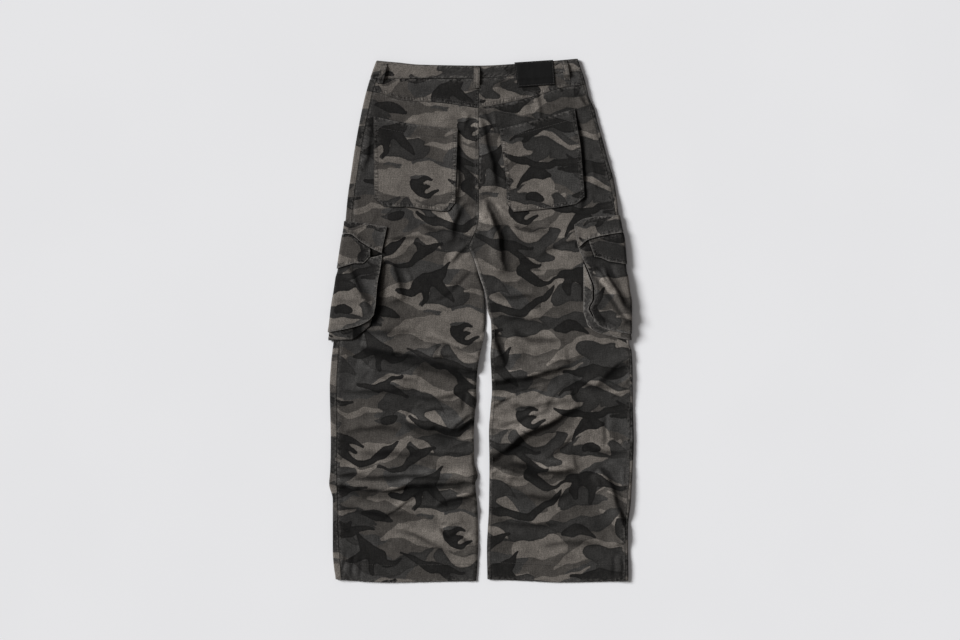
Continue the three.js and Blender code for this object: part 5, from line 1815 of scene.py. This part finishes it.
# Needle work
def stitch_tree():
    """Geometry nodes that set a stitch at every pitch along each line."""
    tree = bpy.data.node_groups.new("rows_of_stitches", "GeometryNodeTree")
    sockets = {}
    kinds = {"Lines": "Geometry", "Pitch": "Float", "Stitch Size": "Vector", "Seed": "Int",
             "Thread": "Material"}
    for name, kind in kinds.items():
        socket = tree.interface.new_socket(name, in_out="INPUT", socket_type="NodeSocket" + kind)
        sockets[name] = socket.identifier
    tree.interface.new_socket("Stitches", in_out="OUTPUT", socket_type="NodeSocketGeometry")
    new = tree.nodes.new
    given, made = new("NodeGroupInput"), new("NodeGroupOutput")
    curve = new("GeometryNodeMeshToCurve")
    even = new("GeometryNodeResampleCurve")
    even.mode = "LENGTH"
    ball = new("GeometryNodeMeshIcoSphere")
    ball.inputs["Radius"].default_value = 0.5
    ball.inputs["Subdivisions"].default_value = 1
    tangent = new("GeometryNodeInputTangent")
    aligned = new("FunctionNodeAlignRotationToVector")
    aligned.axis = "X"
    varied = new("FunctionNodeRandomValue")
    varied.data_type = "FLOAT_VECTOR"
    varied.inputs[0].default_value = (0.86, 0.85, 0.85)
    varied.inputs[1].default_value = (1.08, 1.15, 1.15)
    size = new("ShaderNodeVectorMath")
    size.operation = "MULTIPLY"
    instances = new("GeometryNodeInstanceOnPoints")
    real = new("GeometryNodeRealizeInstances")
    smooth = new("GeometryNodeSetShadeSmooth")
    finish = new("GeometryNodeSetMaterial")
    wires = (
        (given, "Lines", curve, "Mesh"), (curve, "Curve", even, "Curve"), (given, "Pitch", even, "Length"),
        (tangent, "Tangent", aligned, "Vector"), (given, "Seed", varied, "Seed"),
        (given, "Stitch Size", size, 0), (varied, 0, size, 1), (even, "Curve", instances, "Points"),
        (ball, "Mesh", instances, "Instance"), (aligned, "Rotation", instances, "Rotation"),
        (size, "Vector", instances, "Scale"), (instances, "Instances", real, "Geometry"),
        (real, "Geometry", smooth, "Geometry"), (smooth, "Geometry", finish, "Geometry"),
        (given, "Thread", finish, "Material"), (finish, "Geometry", made, "Stitches"),
    )
    for source, output, target, socket in wires:
        tree.links.new(source.outputs[output], target.inputs[socket])
    return tree, sockets


def needle(name, lines, pitch, size):
    """Sews the lines: a plain mesh of stitches, pressed flat where they lie on the surface."""
    points = np.concatenate(lines) * MM
    edges, start = [], 0
    for line in lines:
        edges += [(start + i, start + i + 1) for i in range(len(line) - 1)]
        start += len(line)
    guide = bpy.data.meshes.new(name + "_lines")
    guide.from_pydata(points.tolist(), edges, [])
    runner = placed(name + "_lines", guide)
    tree, sockets = stitch_tree()
    modifier = runner.modifiers.new("stitches", "NODES")
    modifier.node_group = tree
    modifier[sockets["Pitch"]] = pitch * MM
    modifier[sockets["Stitch Size"]] = [value * MM for value in size]
    modifier[sockets["Seed"]] = 8
    modifier[sockets["Thread"]] = THREAD
    evaluated = runner.evaluated_get(bpy.context.evaluated_depsgraph_get())
    mesh = bpy.data.meshes.new_from_object(evaluated)
    mesh.name = name
    places = np.empty(3 * len(mesh.vertices), np.float32)
    mesh.vertices.foreach_get("co", places)
    places[2::3] = np.maximum(places[2::3], 0)
    mesh.vertices.foreach_set("co", places)
    bpy.data.objects.remove(runner)
    piece = placed(name, mesh)
    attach(piece, "root")


# Room, camera and light
FLOOR_REACH = 20000.0
FILL = 0.2
KEY = 4.3
KEY_TILT = 55
KEY_TURN = -24
CAMERA_PLACE = (-0.0017, 0.001, 5.333)


def room():
    mesh = mesh_from_arrays(
        "paper_floor", np.array([(-1, -1, 0), (1, -1, 0), (1, 1, 0), (-1, 1, 0)]) * FLOOR_REACH,
        np.array([[0, 1, 2, 3]]), smooth=False,
    )
    mesh.materials.append(paper())
    placed("paper_floor", mesh)

    world = bpy.data.worlds.new("soft_room")
    world.use_nodes = True
    world.node_tree.nodes["Background"].inputs["Color"].default_value = (1.0, 0.965, 0.94, 1)
    world.node_tree.nodes["Background"].inputs["Strength"].default_value = FILL
    bpy.context.scene.world = world

    light = bpy.data.lights.new("window_light", "SUN")
    light.energy = KEY
    light.angle = math.radians(24)
    light.color = (0.985, 0.993, 1.0)
    key = placed("window_light", light)
    key.rotation_euler = (0, math.radians(-KEY_TILT), math.radians(KEY_TURN))

    camera = bpy.data.cameras.new("overhead")
    camera.lens = 100
    camera.sensor_width = 36
    camera.clip_end = 50
    holder = placed("overhead", camera)
    holder.location = CAMERA_PLACE
    bpy.context.scene.camera = holder


bpy.context.scene.view_settings.view_transform = "Standard"
for side in SIDES:
    leg_and_yoke(side)
    back_pocket(side)
    cargo_pocket(side)
    gusset(side)
waistband()
for name in BACK_LOOPS:
    back_loop(name)
front_loop("belt_loop_front_left", -112)
front_loop("belt_loop_front_right", 104)
patch()
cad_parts["waist_button"].data.materials.clear()
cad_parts["waist_button"].data.materials.append(BUTTON_PLASTIC)
needle("topstitching", stitch_lines, STITCH_PITCH, (STITCH_LENGTH, THREAD_WIDTH, THREAD_HEIGHT))
room()
